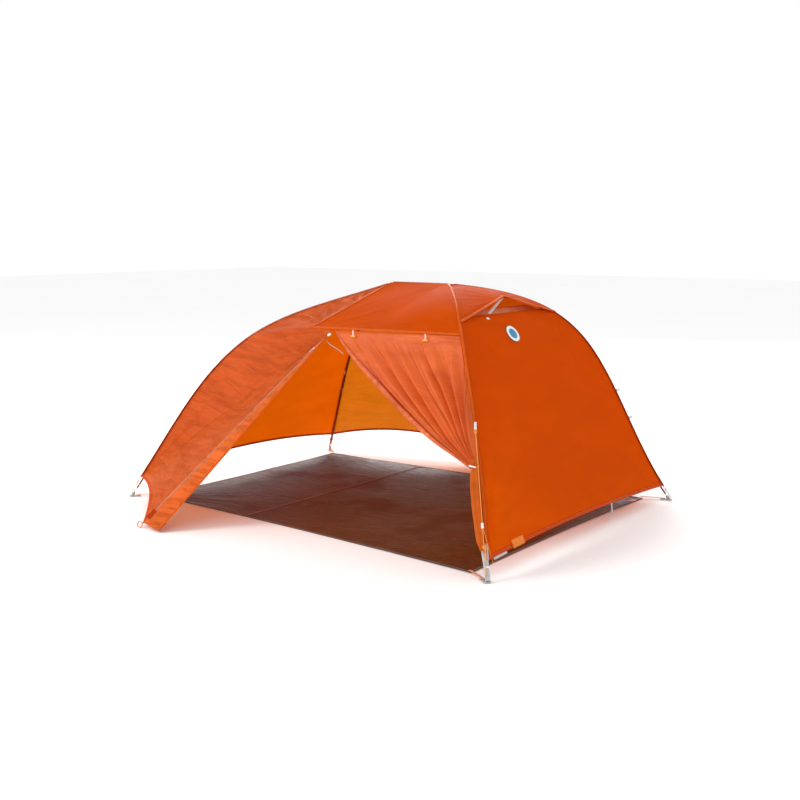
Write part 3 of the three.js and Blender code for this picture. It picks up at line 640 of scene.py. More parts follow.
def net_cloth():
    made = Finish("vent net", 0.7)
    thread = made.sums('MAXIMUM', *[made.spread(made.off_middle(made.in_cell(axis, 0.0022)), 0.26, 0.34)
                                    for axis in made.axes(made.cloth_map())[:2]])
    marks = made.effect(HANDLING, made.place(), Scale=20.0)
    made.set(Base_Color=made.blend(marks["Dust"], (0.86, 0.36, 0.17), (0.76, 0.26, 0.10)),
             Alpha=made.spread(thread, 0.0, 1.0, 0.45, 1.0))
    made.relief(thread, 0.0003)
    return made.material


def braided_cord():
    made = Finish("braided cord", 0.6, Sheen_Weight=0.3)
    vector = made.place()
    wave = made.add('TexWave', {"Scale": 160.0, "Distortion": 1.5, "Vector": vector}, wave_type='BANDS',
                    bands_direction='DIAGONAL').outputs["Fac"]
    marks = made.effect(HANDLING, vector, Scale=80.0)
    tone = made.blend(wave, (0.86, 0.30, 0.012), (0.98, 0.42, 0.03))
    made.set(Base_Color=made.blend(marks["Dust"], tone, (0.95, 0.5, 0.2), 0.3))
    made.gloss(marks["Rub"], 0.55, 0.7)
    made.relief(wave, 0.0004)
    return made.material


# The side, roof, end and storm strip cloths are one orange fly fabric whose colour is set copy by copy for
# the light on its panels: painted light, lighter and paler on the sunlit sides and the storm strip, deeper on
# the roof and the ends.
SUNLIT = fly_cloth("side cloth with painted sunlight", (0.78, 0.150, 0.024), (0.70, 0.118, 0.013), (0.86, 0.25, 0.08),
                   (0.96, 0.52, 0.05), through=0.55, relief=0.007, sharp=0.85)
ROOF = fly_cloth("roof cloth with painted light", (0.72, 0.108, 0.003), (0.66, 0.092, 0.002), (0.78, 0.16, 0.02),
                 (0.90, 0.36, 0.01), shine=0.005, relief=0.003)
ENDS = fly_cloth("end cloth with painted light", (0.77, 0.108, 0.001), (0.745, 0.100, 0.001), (0.82, 0.16, 0.008),
                 (0.98, 0.42, 0.004), shine=0.01, through=0.55, relief=0.002)
# The gathered door and its rolled edge are the same fly fabric painted lighter and paler than the side cloth:
# a painted highlight, alongside their stronger gloss.
GATHERED = fly_cloth("gathered cloth with painted highlight", (0.88, 0.20, 0.035), (0.76, 0.13, 0.012), (0.95, 0.34, 0.12),
                     (0.99, 0.50, 0.05), shine=0.4, relief=0.004)
ROLL = fly_cloth("rolled edge cloth with painted highlight", (0.86, 0.17, 0.035), (0.66, 0.08, 0.008), (0.95, 0.40, 0.20),
                 (0.90, 0.30, 0.04), shine=0.6, through=0.2, relief=0.006, sharp=0.9)
STORM = fly_cloth("storm strip cloth with painted sunlight", (0.92, 0.22, 0.025), (0.84, 0.17, 0.015), (0.95, 0.33, 0.09),
                  (0.98, 0.34, 0.03), relief=0.007, sharp=0.9)
SEAM = tape_cloth("seam tape", (0.66, 0.095, 0.006), (0.58, 0.070, 0.004), (0.80, 0.20, 0.05), 0.0035)
HEM = tape_cloth("hem tape", (0.62, 0.06, 0.003), (0.50, 0.04, 0.002), (0.90, 0.26, 0.07), 0.0045)
PATCH = tape_cloth("dark patch cloth", (0.42, 0.035, 0.002), (0.33, 0.025, 0.001), (0.75, 0.2, 0.05), 0.02)
ZIP_TAPE = tape_cloth("zip tape", (0.36, 0.33, 0.30), (0.27, 0.25, 0.23), (0.62, 0.60, 0.57), 0.008)
BRIGHT = strap_cloth("bright strap", (0.96, 0.25, 0.012), (0.74, 0.14, 0.006), 0.04)
SALMON = strap_cloth("salmon strap", (0.83, 0.32, 0.20), (0.55, 0.17, 0.10))
GREY = strap_cloth("grey strap", (0.62, 0.62, 0.60), (0.36, 0.36, 0.35))
WHITE = strap_cloth("white strap", (0.86, 0.85, 0.83), (0.62, 0.61, 0.59))
GROUND_EDGE = strap_cloth("ground sheet binding", (0.11, 0.035, 0.018), (0.05, 0.014, 0.008))
GROUND_SEAM = strap_cloth("ground sheet seam", (0.34, 0.13, 0.08), (0.18, 0.06, 0.035))
POLE = metal("anodised pole", (0.16, 0.022, 0.016), (0.24, 0.045, 0.03), 0.3)
FERRULE = metal("pole joint", (0.20, 0.03, 0.022), (0.42, 0.40, 0.39), 0.24)
SILVER = metal("bare metal", (0.72, 0.73, 0.74), (0.55, 0.56, 0.57), 0.28)
PLASTIC = moulded("grey moulding", (0.105, 0.11, 0.118), (0.19, 0.19, 0.195))
LIGHT_PLASTIC = moulded("light grey moulding", (0.42, 0.42, 0.41), (0.30, 0.30, 0.29))
PALE = moulded("pale moulding", (0.84, 0.83, 0.80), (0.66, 0.65, 0.62))
TOGGLE = moulded("toggle moulding", (0.95, 0.38, 0.035), (0.80, 0.26, 0.02))
TEETH = moulded("zip coil", (0.42, 0.40, 0.37), (0.28, 0.27, 0.25))
BADGE_BLUE = moulded("badge blue thread", (0.05, 0.24, 0.45), (0.03, 0.16, 0.33), 0.7, 900.0)
GREY_CORD = moulded("grey cord", (0.36, 0.35, 0.34), (0.22, 0.21, 0.21), 0.7, 700.0)
GROUND, NET, CORD = ground_cloth(), net_cloth(), braided_cord()

# --- guy line, first because it is a free cord ---


def guy_end(height, out):
    return leg(HEAD, NEAR, share_at(HEAD, height)) + Vector(out)


GUY_TOP = guy_end(0.633, (0.024, -0.034, 0))
GUY_FOOT = guy_end(0.06, (0.020, -0.042, 0))
guy_curve = bpy.data.curves.new("guy_cord", 'CURVE')
guy_curve.dimensions = '3D'
guy_curve.bevel_depth = 0.0015
guy_curve.bevel_resolution = 3
guy_curve.use_fill_caps = True
guy_spline = guy_curve.splines.new('POLY')
guy_spline.points.add(19)
for share, point in zip(steps(19), guy_spline.points):
    point.co = (*(GUY_TOP.lerp(GUY_FOOT, share) + Vector((0.0012, -0.0012, 0)) * bow(share)), 1)
guy_cord = bpy.data.objects.new("guy_cord", guy_curve)
bpy.context.collection.objects.link(guy_cord)
guy_curve.materials.append(CORD)
dressed(guy_cord, "fly", "cord", "guy_line")

# --- rows of the panels ---


def grid(along, across, point):
    return [[point(a, b) for b in across] for a in along]


def side_of(rows, column):
    return [row[column] for row in rows]


def borders(rows):
    return [rows[0], rows[-1], side_of(rows, 0), side_of(rows, -1)]


def roof_upper(side, share):
    if share < 0.42:
        return Vector((0.005 + 0.377 * share / 0.42, 0, PEAK))
    return leg(HEAD, side, SHOULDER * (share - 0.42) / 0.58)


def roof_point(side, share, down):
    lower = brow_foot(side).lerp(leg(HEAD, side, SHOULDER), share)
    rise = 0.022 * math.sin(math.pi * share) * math.sin(math.pi * down ** 0.7)
    return roof_upper(side, share).lerp(lower, down) + Vector((0, 0, rise))


def end_point(end, share, across, hem, rise, top, last):
    """A point of an end panel; its hem is at the height hem at the legs and rises in the middle."""
    down = (share - top) / (last - top)
    raised = share_at(end, hem + rise * bow(across))
    here = top + (raised - top) * down
    out = leg_out(end, NEAR, here)
    inward = unit(Vector((out.x, 0, out.z)))
    return leg(end, NEAR, here).lerp(leg(end, FAR, here), across) - inward * (
        0.022 * bow(across) * math.sin(math.pi * down))


def head_point(share, across):
    return end_point(HEAD, share, across, HEAD_HEM_HEIGHT, 0.022, HEAD_TOP, HEAD_HEM)


def foot_point(share, across):
    return end_point(FOOT, share, across, FOOT_HEM_HEIGHT, 0.06, FOOT_TOP, FOOT_HEM)


def hood_point(down, across):
    middle = 1 - abs(2 * across - 1)
    here = 0.03 + (VENT_SHARE + (VENT_MIDDLE - VENT_SHARE) * middle - 0.03) * down
    clear = 0.001 + (0.0035 + 0.0045 * middle) * down
    return leg(HEAD, NEAR, here).lerp(leg(HEAD, FAR, here), across) + Vector(
        (0.003 * down, 0, clear + 0.062 * middle * down * down))


def roof_seam(side, share):
    return Vector((0.005, 0, PEAK)).lerp(brow_foot(side), share)


def brow_corner(side):
    return brow_foot(side) + Vector((0, side * 0.006, -0.008))


def upper_edge(side, share):
    if share < BROW_SHARE:
        return roof_seam(side, share / BROW_SHARE)
    return brow_corner(side).lerp(door_top(side), (share - BROW_SHARE) / 0.06)


def upper_grid(side, columns=44):
    along = steps(26, 0.0, BROW_SHARE) + steps(5, BROW_SHARE, DOOR_SHARE)[1:]
    return grid(along, steps(columns), lambda s, a: leg(FOOT, side, s).lerp(upper_edge(side, s), a))


def lower_share(share):
    return DOOR_SHARE + (FOOT_HEM - DOOR_SHARE) * share


# --- the fly's panels ---


def panel(name, grids, look, slot, *nodes, body="fly", **more):
    """A stretched sheet that stands for its solids."""
    obj, size, area = cloth(name, grids, look, **more)
    dressed(obj, body, slot, *nodes)
    return obj


for side_name, side in (("near", NEAR), ("far", FAR)):
    rows = grid(steps(66), steps(40), lambda s, d: roof_point(side, s, d))
    panel(
        f"roof_{side_name}", [rows], ROOF, "fly_roof", f"roof_panel_{side_name}", held_at=borders(rows),
        pulls=[(brow_foot(side), 0.30, 0.006, 16), (leg(HEAD, side, SHOULDER), 0.28, 0.006, 18),
               (Vector((0.382, 0, PEAK)), 0.22, 0.004, 14), (Vector((0.005, 0, PEAK)), 0.2, 0.004, 14)],
        ripple=0.0022, roll=0.004, seed=2.0 + side)

head_rows = grid(steps(76, HEAD_TOP, HEAD_HEM), steps(70), head_point)
panel("head_end", [head_rows], ENDS, "fly_end", "head_end_panel", held_at=borders(head_rows)[1:],
      pulls=[(head_rows[-1][0], 0.6, 0.008, 22), (head_rows[-1][-1], 0.6, 0.008, 22),
             (head_rows[0][0], 0.35, 0.006, 18), (head_rows[0][-1], 0.35, 0.006, 18),
             (head_rows[-1][35], 0.25, 0.004, 12)], ripple=0.0022, roll=0.010, seed=5.0)

foot_rows = grid(steps(80, FOOT_TOP, FOOT_HEM), steps(64), foot_point)
panel("foot_end", [foot_rows], ENDS, "fly_end", "foot_end_panel", held_at=borders(foot_rows),
      pulls=[(foot_rows[-1][0], 0.6, 0.007, 22), (foot_rows[-1][-1], 0.6, 0.007, 22),
             (foot_rows[0][32], 0.4, 0.004, 14)], ripple=0.003, roll=0.012, seed=7.0)

hood_rows = grid(steps(36), steps(56), hood_point)
hood = panel("vent_hood_cloth", [hood_rows], ROOF, "fly_end", "vent_hood",
             held_at=[hood_rows[0], side_of(hood_rows, 0), side_of(hood_rows, -1)],
             pulls=[(hood_rows[-1][28], 0.22, 0.006, 16), (hood_rows[-1][0], 0.2, 0.004, 14),
                    (hood_rows[-1][-1], 0.2, 0.004, 14)], ripple=0.0014, seed=9.0)

net_rows = grid(steps(10, VENT_MIDDLE * 0.8, HEAD_TOP - 0.004), steps(40, 0.04, 0.96), lambda s, a: leg(
    HEAD, NEAR, s).lerp(leg(HEAD, FAR, s), a) + Vector((0, 0, -0.028)))
panel("vent_net", [net_rows], NET, "mesh", "vent_mesh", held_at=[net_rows[0], net_rows[-1]], ripple=0.002,
      thickness=0.0006)

# near side and door: one sheet that folds along the line from the brow to the corner
side_upper = upper_grid(NEAR)
side_lower = grid(steps(54), steps(44),
                  lambda f, a: leg(FOOT, NEAR, lower_share(f)).lerp(fold_line(NEAR, f), a))


def door_point(f, a):
    here = f * (1 - 0.04 * bow(a))
    return fold_line(NEAR, here).lerp(zip_line(NEAR, here), a * (1 - 0.004 / max(0.05, here)))


side_door = grid(steps(54), steps(40), door_point)
near_hem = side_lower[-1] + side_door[-1][1:]
near_side, near_size, near_area = cloth(
    "near_side", [side_upper, side_lower, side_door], SUNLIT,
    held_at=[side_of(side_upper + side_lower, 0), side_of(side_upper, -1), side_upper[0],
             side_of(side_door, -1), near_hem],
    pulls=[(door_top(NEAR), 0.75, 0.012, 34), (stake(NEAR), 0.7, 0.010, 30),
           (side_lower[-1][0], 0.6, 0.009, 26), (brow_foot(NEAR), 0.5, 0.007, 22),
           (leg(FOOT, NEAR, 0.02), 0.4, 0.005, 16)],
    ripple=0.003, roll=0.012, seed=11.0, hold=0.05)
dressed(near_side, None, "fly_sunlit", "near_side_panel", "near_door_panel")

# far vestibule: foot and head parts with the zip between them
far_upper = upper_grid(FAR)


def far_foot_point(f, a):
    here = f * (1 - 0.11 * bow(a))
    return leg(FOOT, FAR, lower_share(here)).lerp(zip_line(FAR, here), a)


def far_head_point(f, a):
    here = f * (1 - 0.11 * bow(a))
    return zip_line(FAR, here).lerp(leg(HEAD, FAR, SHOULDER + (HEAD_HEM - SHOULDER) * here), a)


far_foot = grid(steps(54), steps(44), far_foot_point)
far_head = grid(steps(54), steps(44), far_head_point)
far_hem = far_foot[-1] + far_head[-1][1:]
panel(
    "far_side", [far_upper, far_foot, far_head], SUNLIT, "fly_sunlit", "far_vestibule_foot_panel",
    "far_vestibule_head_panel",
    held_at=[side_of(far_upper + far_foot, 0), side_of(far_upper, -1), far_upper[0],
             side_of(far_head, -1), far_head[0], far_hem, side_of(far_head, 0)],
    pulls=[(door_top(FAR), 0.7, 0.011, 32), (stake(FAR), 0.7, 0.012, 30), (far_foot[-1][0], 0.6, 0.008, 24),
           (far_head[-1][-1], 0.5, 0.008, 24), (brow_foot(FAR), 0.4, 0.006, 20)],
    ripple=0.003, roll=0.012, seed=13.0)

# strip of cloth over the near zip
DOOR_OUT = unit(Vector((0.2, -0.8, 0.5)))


def flap_point(s, a):
    wide = Vector((0.150, -0.030 * s ** 6, -0.012 * s ** 6))
    return zip_line(NEAR, s) + wide * s * a + DOOR_OUT * (0.0045 + 0.010 * math.sin(math.pi * a) * s)


flap_rows = grid(steps(60, 0.04, 0.995), steps(14), flap_point)
panel("storm_strip", [flap_rows], STORM, "fly_sunlit", "near_storm_flap", body="near_door",
      held_at=[side_of(flap_rows, 0), flap_rows[0], flap_rows[-1]], pulls=[(stake(NEAR), 0.5, 0.005, 16)],
      ripple=0.003, seed=17.0, hold=0.05, inward=False)

# --- the gathered half of the near door ---

TIE = leg(HEAD, NEAR, TIE_SHARE) + Vector((-0.006, -0.022, 0))


def gathered_edge(along):
    if along < 0.72:
        return (door_top(NEAR) + Vector((0.010, 0, -0.003))).lerp(
            leg(HEAD, NEAR, SHOULDER) + Vector((-0.004, -0.002, -0.003)), along / 0.72)
    last = SHOULDER + (TIE_SHARE - SHOULDER) * 0.45
    return leg(HEAD, NEAR, SHOULDER + (last - SHOULDER) * (along - 0.72) / 0.28) + Vector((-0.003, -0.004, 0))


def gathered_point(along, down):
    gather = TIE + Vector((-0.024 + 0.034 * along, -0.004, -0.014 + 0.028 * along))
    p = gathered_edge(along).lerp(gather, down)
    swell = math.sin(math.pi * down)
    wander = 0.55 * noise.noise(Vector((along * 3.0, down * 1.2, 4.0)))
    fold = math.cos(2 * math.pi * (9.0 * along + wander))
    fine = math.cos(2 * math.pi * (21.0 * along + 1.7 * wander + 0.3 * down))
    depth = 0.018 * smooth(down * 2.6) * smooth((1 - down) * 4) + 0.0035 * smooth(down * 6)
    relief = depth * (math.copysign(abs(fold) ** 0.75, fold) + 0.4 * fine)
    sag = 0.034 * (1 - along) ** 2 * math.sin(math.pi * down ** 0.7)
    return p + Vector((-0.2 * relief, -0.010 * swell - 0.9 * relief, -sag - 0.25 * relief))


gathered_rows = grid(steps(150), steps(46), gathered_point)
gathered = cloth("gathered_door", [gathered_rows], GATHERED, ripple=0.0015, seed=19.0, hold=0.05,
                 held_at=[side_of(gathered_rows, 0)])[0]
dressed(gathered, "fly", "fly_sunlit", "near_gathered_door")


def rolled_edge(name, radius_at, centre_at, count, turns, lobes, look, seed):
    """A roll of cloth along a line, with lobes where its layers lie."""
    rows, plan, walked = [], [], 0.0
    middles = [centre_at(t) for t in steps(count)]
    for i, (t, p) in enumerate(zip(steps(count), middles)):
        ahead = unit(middles[min(i + 1, count)] - middles[max(i - 1, 0)])
        side = unit(ahead.cross(Vector((0.3, -1, 0.2))))
        other = ahead.cross(side)
        if i:
            walked += (p - middles[i - 1]).length
        row, flat_row = [], []
        for k in range(turns + 1):
            angle = 2 * math.pi * k / turns
            wave = 1 + lobes[1] * math.cos(lobes[0] * angle + 3 * noise.noise(Vector((t * 3, seed, 0))))
            wave += lobes[1] * 0.5 * math.cos((lobes[0] * 2 + 1) * angle + 5 * t)
            row.append(p + (side * math.cos(angle) + other * math.sin(angle)) * radius_at(t) * wave)
            flat_row.append((radius_at(0.5) * angle, walked))
        rows.append(row)
        plan.append(flat_row)
    obj = mesh_of_grids(name, [rows], [plan])
    heal(obj, close=True)
    return dressed(soften(obj, look), "fly", "fly_sunlit")


edge_roll = rolled_edge(
    "gathered_edge_roll", lambda t: 0.0035 + 0.0095 * math.sin(math.pi * t ** 0.8),
    lambda t: gathered_point(0.0, 0.012 + 0.968 * t) + Vector((0.004, -0.002,
                                                               -0.006 * math.sin(math.pi * t))),
    60, 14, (2, 0.16), ROLL, 3.0)
TAIL_TOP = TIE + Vector((-0.008, -0.004, 0.030))
TAIL_FOOT = leg(HEAD, NEAR, share_at(HEAD, 0.13)) + Vector((-0.006, -0.030, 0))


def tail_line(t):
    lean = Vector((-0.006, -0.006, 0)) * bow(t)
    neck = Vector((0.0, 0.004, 0)) * smooth(1 - abs(t - 0.08) * 10)
    return TAIL_TOP.lerp(TAIL_FOOT, t) + lean + neck


tail = rolled_edge("gathered_tail", lambda t: 0.0125 - 0.004 * smooth(1 - abs(t - 0.10) * 12)
                   + 0.005 * math.sin(math.pi * t ** 0.8) - 0.006 * smooth((t - 0.9) * 10),
                   tail_line, 56, 42, (5, 0.22), SUNLIT, 8.0)

# --- ground sheet ---

SHEET_CORNERS = {"head_near": Vector((1.145, -0.89, 0)), "head_far": Vector((1.145, 0.89, 0)),
                 "foot_near": Vector((-1.145, -0.7875, 0)), "foot_far": Vector((-1.145, 0.7875, 0))}


def sheet_side(start, end, t):
    p, q = SHEET_CORNERS[start], SHEET_CORNERS[end]
    middle = (p + q) / 2
    pull = middle - unit(middle) * 0.036
    return p * (1 - t) ** 2 + pull * 2 * t * (1 - t) + q * t * t


def ground_point(s, a):
    near = sheet_side("foot_near", "head_near", s)
    far = sheet_side("foot_far", "head_far", s)
    start = sheet_side("foot_near", "foot_far", a)
    last = sheet_side("head_near", "head_far", a)
    corner = (SHEET_CORNERS["foot_near"] * (1 - s) * (1 - a) + SHEET_CORNERS["head_near"] * s * (1 - a)
              + SHEET_CORNERS["foot_far"] * (1 - s) * a + SHEET_CORNERS["head_far"] * s * a)
    return near.lerp(far, a) + start.lerp(last, s) - corner


ground_rows = []
for row in grid(steps(120), steps(90), ground_point):
    new_row = []
    for p in row:
        height = 0.0
        for place in SHEET_CORNERS.values():
            gap = p - place
            turn = math.atan2(gap.y, gap.x)
            wander = noise.noise(Vector((turn * 6, gap.length * 1.5, 3.0)))
            height += 0.0045 * (0.5 + 0.5 * math.cos(turn * 30 + 4 * wander)) ** 3 * math.exp(
                -(gap.length / 0.55) ** 2) * min(1, gap.length / 0.08)
        height += 0.004 * max(0.0, noise.fractal(Vector((p.x * 2.5, p.y * 2.5, 1.0)), 0.9, 2.0, 3))
        new_row.append(p + Vector((0, 0, 0.0016 + min(height, 0.009))))
    ground_rows.append(new_row)
ground = mesh_of_grids("ground_cloth", [ground_rows], [[[(p.x, p.y) for p in row] for row in ground_rows]])
if ground.data.polygons[0].normal.z < 0:
    ground.data.flip_normals()
finish_mesh(ground, ('SOLIDIFY', {"thickness": 0.0012, "offset": -1.0}))
dressed(soften(ground, GROUND), "frame", "ground_sheet", "ground_sheet")


for label, points in (("near", side_of(ground_rows, 0)), ("far", side_of(ground_rows, -1)),
                      ("foot", ground_rows[0]), ("head", ground_rows[-1])):
    inward = [unit(Vector((-p.x, -p.y, 0)) * Vector((0, 1, 0)) if label in ("near", "far")
                   else Vector((-p.x, 0, 0))) for p in points]
    line = [Vector((p.x, p.y, p.z + 0.0007)) + side * 0.006 for p, side in zip(points, inward)]
    dressed(tape(f"ground_binding_{label}", line, inward, 0.012, GROUND_EDGE, 0.0012, away=BELOW),
            "frame", "ground_sheet")
seam_share = 0.33
seam_line = [ground_point(seam_share, a) for a in steps(60)]
seam_line = [Vector((p.x, p.y, 0.0042)) for p in seam_line]
dressed(tape("ground_seam", seam_line, Vector((1, 0, 0)), 0.009, GROUND_SEAM, 0.001, away=BELOW),
        "frame", "ground_sheet")

# --- seams, hems and zips ---


def sewn(name, line, across, width, look, body="fly", slot="fly_sunlit", lift=0.0012, **more):
    return dressed(tape(name, line, across, width, look, lift=lift, **more), body, slot)


def string(name, line, radius, look=CORD, slot="cord"):
    return dressed(tube(name, line, radius, look, 8), "fly", slot)


def leg_across(end, side, shares):
    sides = []
    for share in shares:
        ahead = leg(end, side, min(share + 0.01, 1)) - leg(end, side, max(share - 0.01, 0))
        sides.append(unit(ahead.cross(leg_out(end, side, share))))
    return sides


for name, (end, side) in LEGS.items():
    last = HEAD_HEM if end is HEAD else FOOT_HEM
    shares = steps(90, 0.012, last)
    line = [leg(end, side, s) for s in shares]
    sewn(f"leg_seam_{name}", line, leg_across(end, side, shares), 0.014, SEAM, crown=0.0016, lift=0.0012)
    below = [leg(end, side, s) - leg_out(end, side, s) * 0.0035 for s in shares]
    sewn(f"leg_lining_{name}", below, leg_across(end, side, shares), 0.020, HEM, lift=0.0, thickness=0.001)

for label, side in (("near", NEAR), ("far", FAR)):
    roof_edge = [roof_seam(side, s) for s in steps(40, 0.02, 0.99)]
    sewn(f"roof_seam_{label}", roof_edge, Vector((1, 0, 0.1)), 0.011, SEAM, slot="fly_roof", crown=0.001)
    brow_line = [brow_foot(side).lerp(leg(HEAD, side, SHOULDER), s) for s in steps(60, 0.003, 0.997)]
    sewn(f"brow_seam_{label}", [p + Vector((0, 0, -0.001)) for p in brow_line],
         Vector((0, 0.55, -side * 0.83)) * -side, 0.012, SEAM, slot="fly_roof", lift=0.0022, crown=0.001)
ridge_line = [Vector((x, 0, PEAK + 0.0006)) for x in steps(24, 0.012, 0.378)]
sewn("ridge_seam", ridge_line, Vector((0, 1, 0)), 0.014, SEAM, slot="fly_roof", crown=0.0008)


def hem(name, rows, body="fly", look=HEM, width=0.016, slot="fly_sunlit"):
    ups = [unit(upper - lower) for upper, lower in zip(rows[-3], rows[-1])]
    line = [p + up * width * 0.42 for p, up in zip(rows[-1], ups)]
    return sewn(name, line, ups, width, look, body, lift=0.0, thickness=0.0032, slot=slot)


hem("head_hem", head_rows, slot="fly_end", width=0.020)
hem("foot_hem", foot_rows, slot="fly_end")
hem("far_hem_foot", far_foot)
hem("far_hem_head", far_head)
side_hem = hem("near_hem_side", side_lower)
door_hem = hem("near_hem_door", side_door, None)
hood_hem = hem("vent_hood_hem", hood_rows, look=SEAM, width=0.014, slot="fly_end")
for piece in (hood, hood_hem):
    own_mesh(piece)
for piece in (near_side, door_hem):
    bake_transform(piece)

sewn("storm_strip_hem", side_of(flap_rows, -1), [unit(r[-2] - r[-1]) for r in flap_rows], 0.010, SEAM,
     "near_door", lift=0.0008, thickness=0.0022)
patch_shares = steps(14, 0.955, 0.995)
patch_line = [zip_line(NEAR, s) + Vector((0.075, 0.006, 0.002)) * s for s in patch_shares]
patch_line = [p + DOOR_OUT * 0.012 for p in patch_line]
sewn("storm_strip_patch", patch_line, Vector((1, 0.08, 0.02)), 0.140, PATCH, "near_door", lift=0.002,
     lanes=12, thickness=0.0014)


def zip_frame(side):
    down = unit(stake(side) - door_top(side))
    out = down.cross(leg(FOOT, side, FOOT_HEM) - door_top(side)).normalized()
    if out.y * side < 0:
        out = -out
    return down, out, unit(down.cross(out))


def make_zip(label, side, first, body):
    down, out, across = zip_frame(side)
    line = [zip_line(side, s) for s in steps(60, first, 0.978)]
    tapes = tape(f"zip_{label}_tape", line, across, 0.024, ZIP_TAPE, 0.0012, 0.0012, lanes=4)
    start, stop = zip_line(side, first + 0.004), zip_line(side, 0.974)
    bpy.ops.mesh.primitive_cube_add(size=1)
    tooth = bpy.context.object
    tooth.name = f"zip_{label}_coil"
    tooth.scale = (0.0052, 0.0014, 0.0022)
    bpy.ops.object.transform_apply(location=False, rotation=False, scale=True)
    finish_mesh(tooth, ('BEVEL', {"width": 0.0004, "segments": 1}),
                ('ARRAY', {"count": int((stop - start).length / 0.0026), "use_relative_offset": False,
                           "use_constant_offset": True, "constant_offset_displace": (0, 0.0026, 0)}))
    turn = Matrix((across, down, across.cross(down))).transposed().to_4x4()
    tooth.matrix_world = Matrix.Translation(start + out * 0.0026) @ turn
    settle(tooth, TEETH)
    dressed(tapes, body, "zip", f"zip_{label}")
    dressed(tooth, body, "zip")


make_zip("near", NEAR, 0.06, "near_door")
make_zip("far", FAR, 0.02, "fly")

# --- poles, hubs and corner plates ---

POLE_RADIUS, BROW_RADIUS, CLIP_WALL, PANEL, GAP = 0.00475, 0.0042, 0.0026, 0.003, 0.009


def pole_below(share):
    """How far the middle of a pole is under the fly: deeper at the hubs, where the brow pole crosses over."""
    deep = 2 * (POLE_RADIUS + BROW_RADIUS + CLIP_WALL) + PANEL + GAP + 0.004
    shallow = POLE_RADIUS + PANEL + GAP
    return deep + (shallow - deep) * min(share / 0.2, 1)


def pole_point(end, side, share):
    return leg(end, side, share) - leg_out(end, side, share) * pole_below(share)


for name, (end, side) in LEGS.items():
    line = [pole_point(end, side, s) for s in steps(96, 0.02, 0.975)]
    pole = tube(f"pole_tube_{name}", line, POLE_RADIUS, POLE, 16)
    for joint in (0.30, 0.53, 0.76):
        sleeve = tube(f"sleeve_{name}", [pole_point(end, side, joint + s) for s in steps(8, -0.022, 0.022)],
                      0.0056, FERRULE, 16)
        merge(pole, sleeve)
    dressed(pole, "frame", "pole", f"pole_{name}")
HUB_Z = PEAK - pole_below(0)
ridge = tube("pole_tube_ridge", [Vector((x, 0, HUB_Z)) for x in steps(12, 0.020, 0.367)],
             POLE_RADIUS, POLE, 16)
dressed(ridge, "frame", "pole", "pole_ridge")


def roof_at(x, step):
    low, high = 0.01, 0.9
    for _ in range(24):
        middle = (low + high) / 2
        upper, lower = roof_upper(NEAR, middle), brow_foot(NEAR).lerp(leg(HEAD, NEAR, SHOULDER), middle)
        length = (lower - upper).length
        p = upper.lerp(lower, (0.005 + (length - 0.015) * step / 20) / length)
        if p.x < x:
            low = middle
        else:
            high = middle
    return p + Vector((0, 0, 0.022 * math.sin(math.pi * low) * math.sin(math.pi * (step / 20) ** 0.7)))


def through_points(points, count):
    """A smooth line through points, the same curve as the model's."""
    def spaced(a, b):
        return max((b - a).length ** 0.5, 1e-4)
    ends = [points[0] * 2 - points[1]] + points + [points[-1] * 2 - points[-2]]
    line = []
    for t in steps(count):
        place = t * (len(points) - 1)
        i = min(int(place), len(points) - 2)
        w = place - i
        p0, p1, p2, p3 = ends[i:i + 4]
        d0, d1, d2 = spaced(p0, p1), spaced(p1, p2), spaced(p2, p3)
        m1 = ((p1 - p0) / d0 - (p2 - p0) / (d0 + d1) + (p2 - p1) / d1) * d1
        m2 = ((p2 - p1) / d1 - (p3 - p1) / (d1 + d2) + (p3 - p2) / d2) * d1
        line.append(p1 + m1 * w + (p1 * -3 + p2 * 3 - m1 * 2 - m2) * w ** 2
                    + (p1 * 2 - p2 * 2 + m1 + m2) * w ** 3)
    return line


brow_near = [roof_at(0.2, step) - Vector((0, 0, BROW_RADIUS + PANEL + GAP)) for step in (19, 16, 12, 8, 5, 3)]
brow_top = Vector((0.2, 0, HUB_Z + POLE_RADIUS + BROW_RADIUS + 2 * CLIP_WALL + 0.0018))
brow_line = brow_near + [brow_top] + [Vector((p.x, -p.y, p.z)) for p in reversed(brow_near)]
brow = tube("brow_tube", through_points(brow_line, 96), BROW_RADIUS, POLE, 16)
dressed(brow, "brow", "pole", "brow_pole")

for node, look in [("hub_head", PLASTIC), ("hub_foot", PLASTIC), ("brow_clip_lower", PLASTIC),
                   ("brow_clip_upper", PLASTIC), ("vent_strut", PALE), ("guy_line_lock", PALE),
                   ("zip_slider_near", SILVER), ("zip_slider_far", SILVER)] + [
        (f"corner_plate_{n}", LIGHT_PLASTIC) for n in LEGS] + [(f"pole_tip_{n}", SILVER) for n in LEGS] + [
        (f"corner_buckle_{n}", SILVER) for n in LEGS]:
    wear(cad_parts[node], look)

# --- webbing at the corners ---

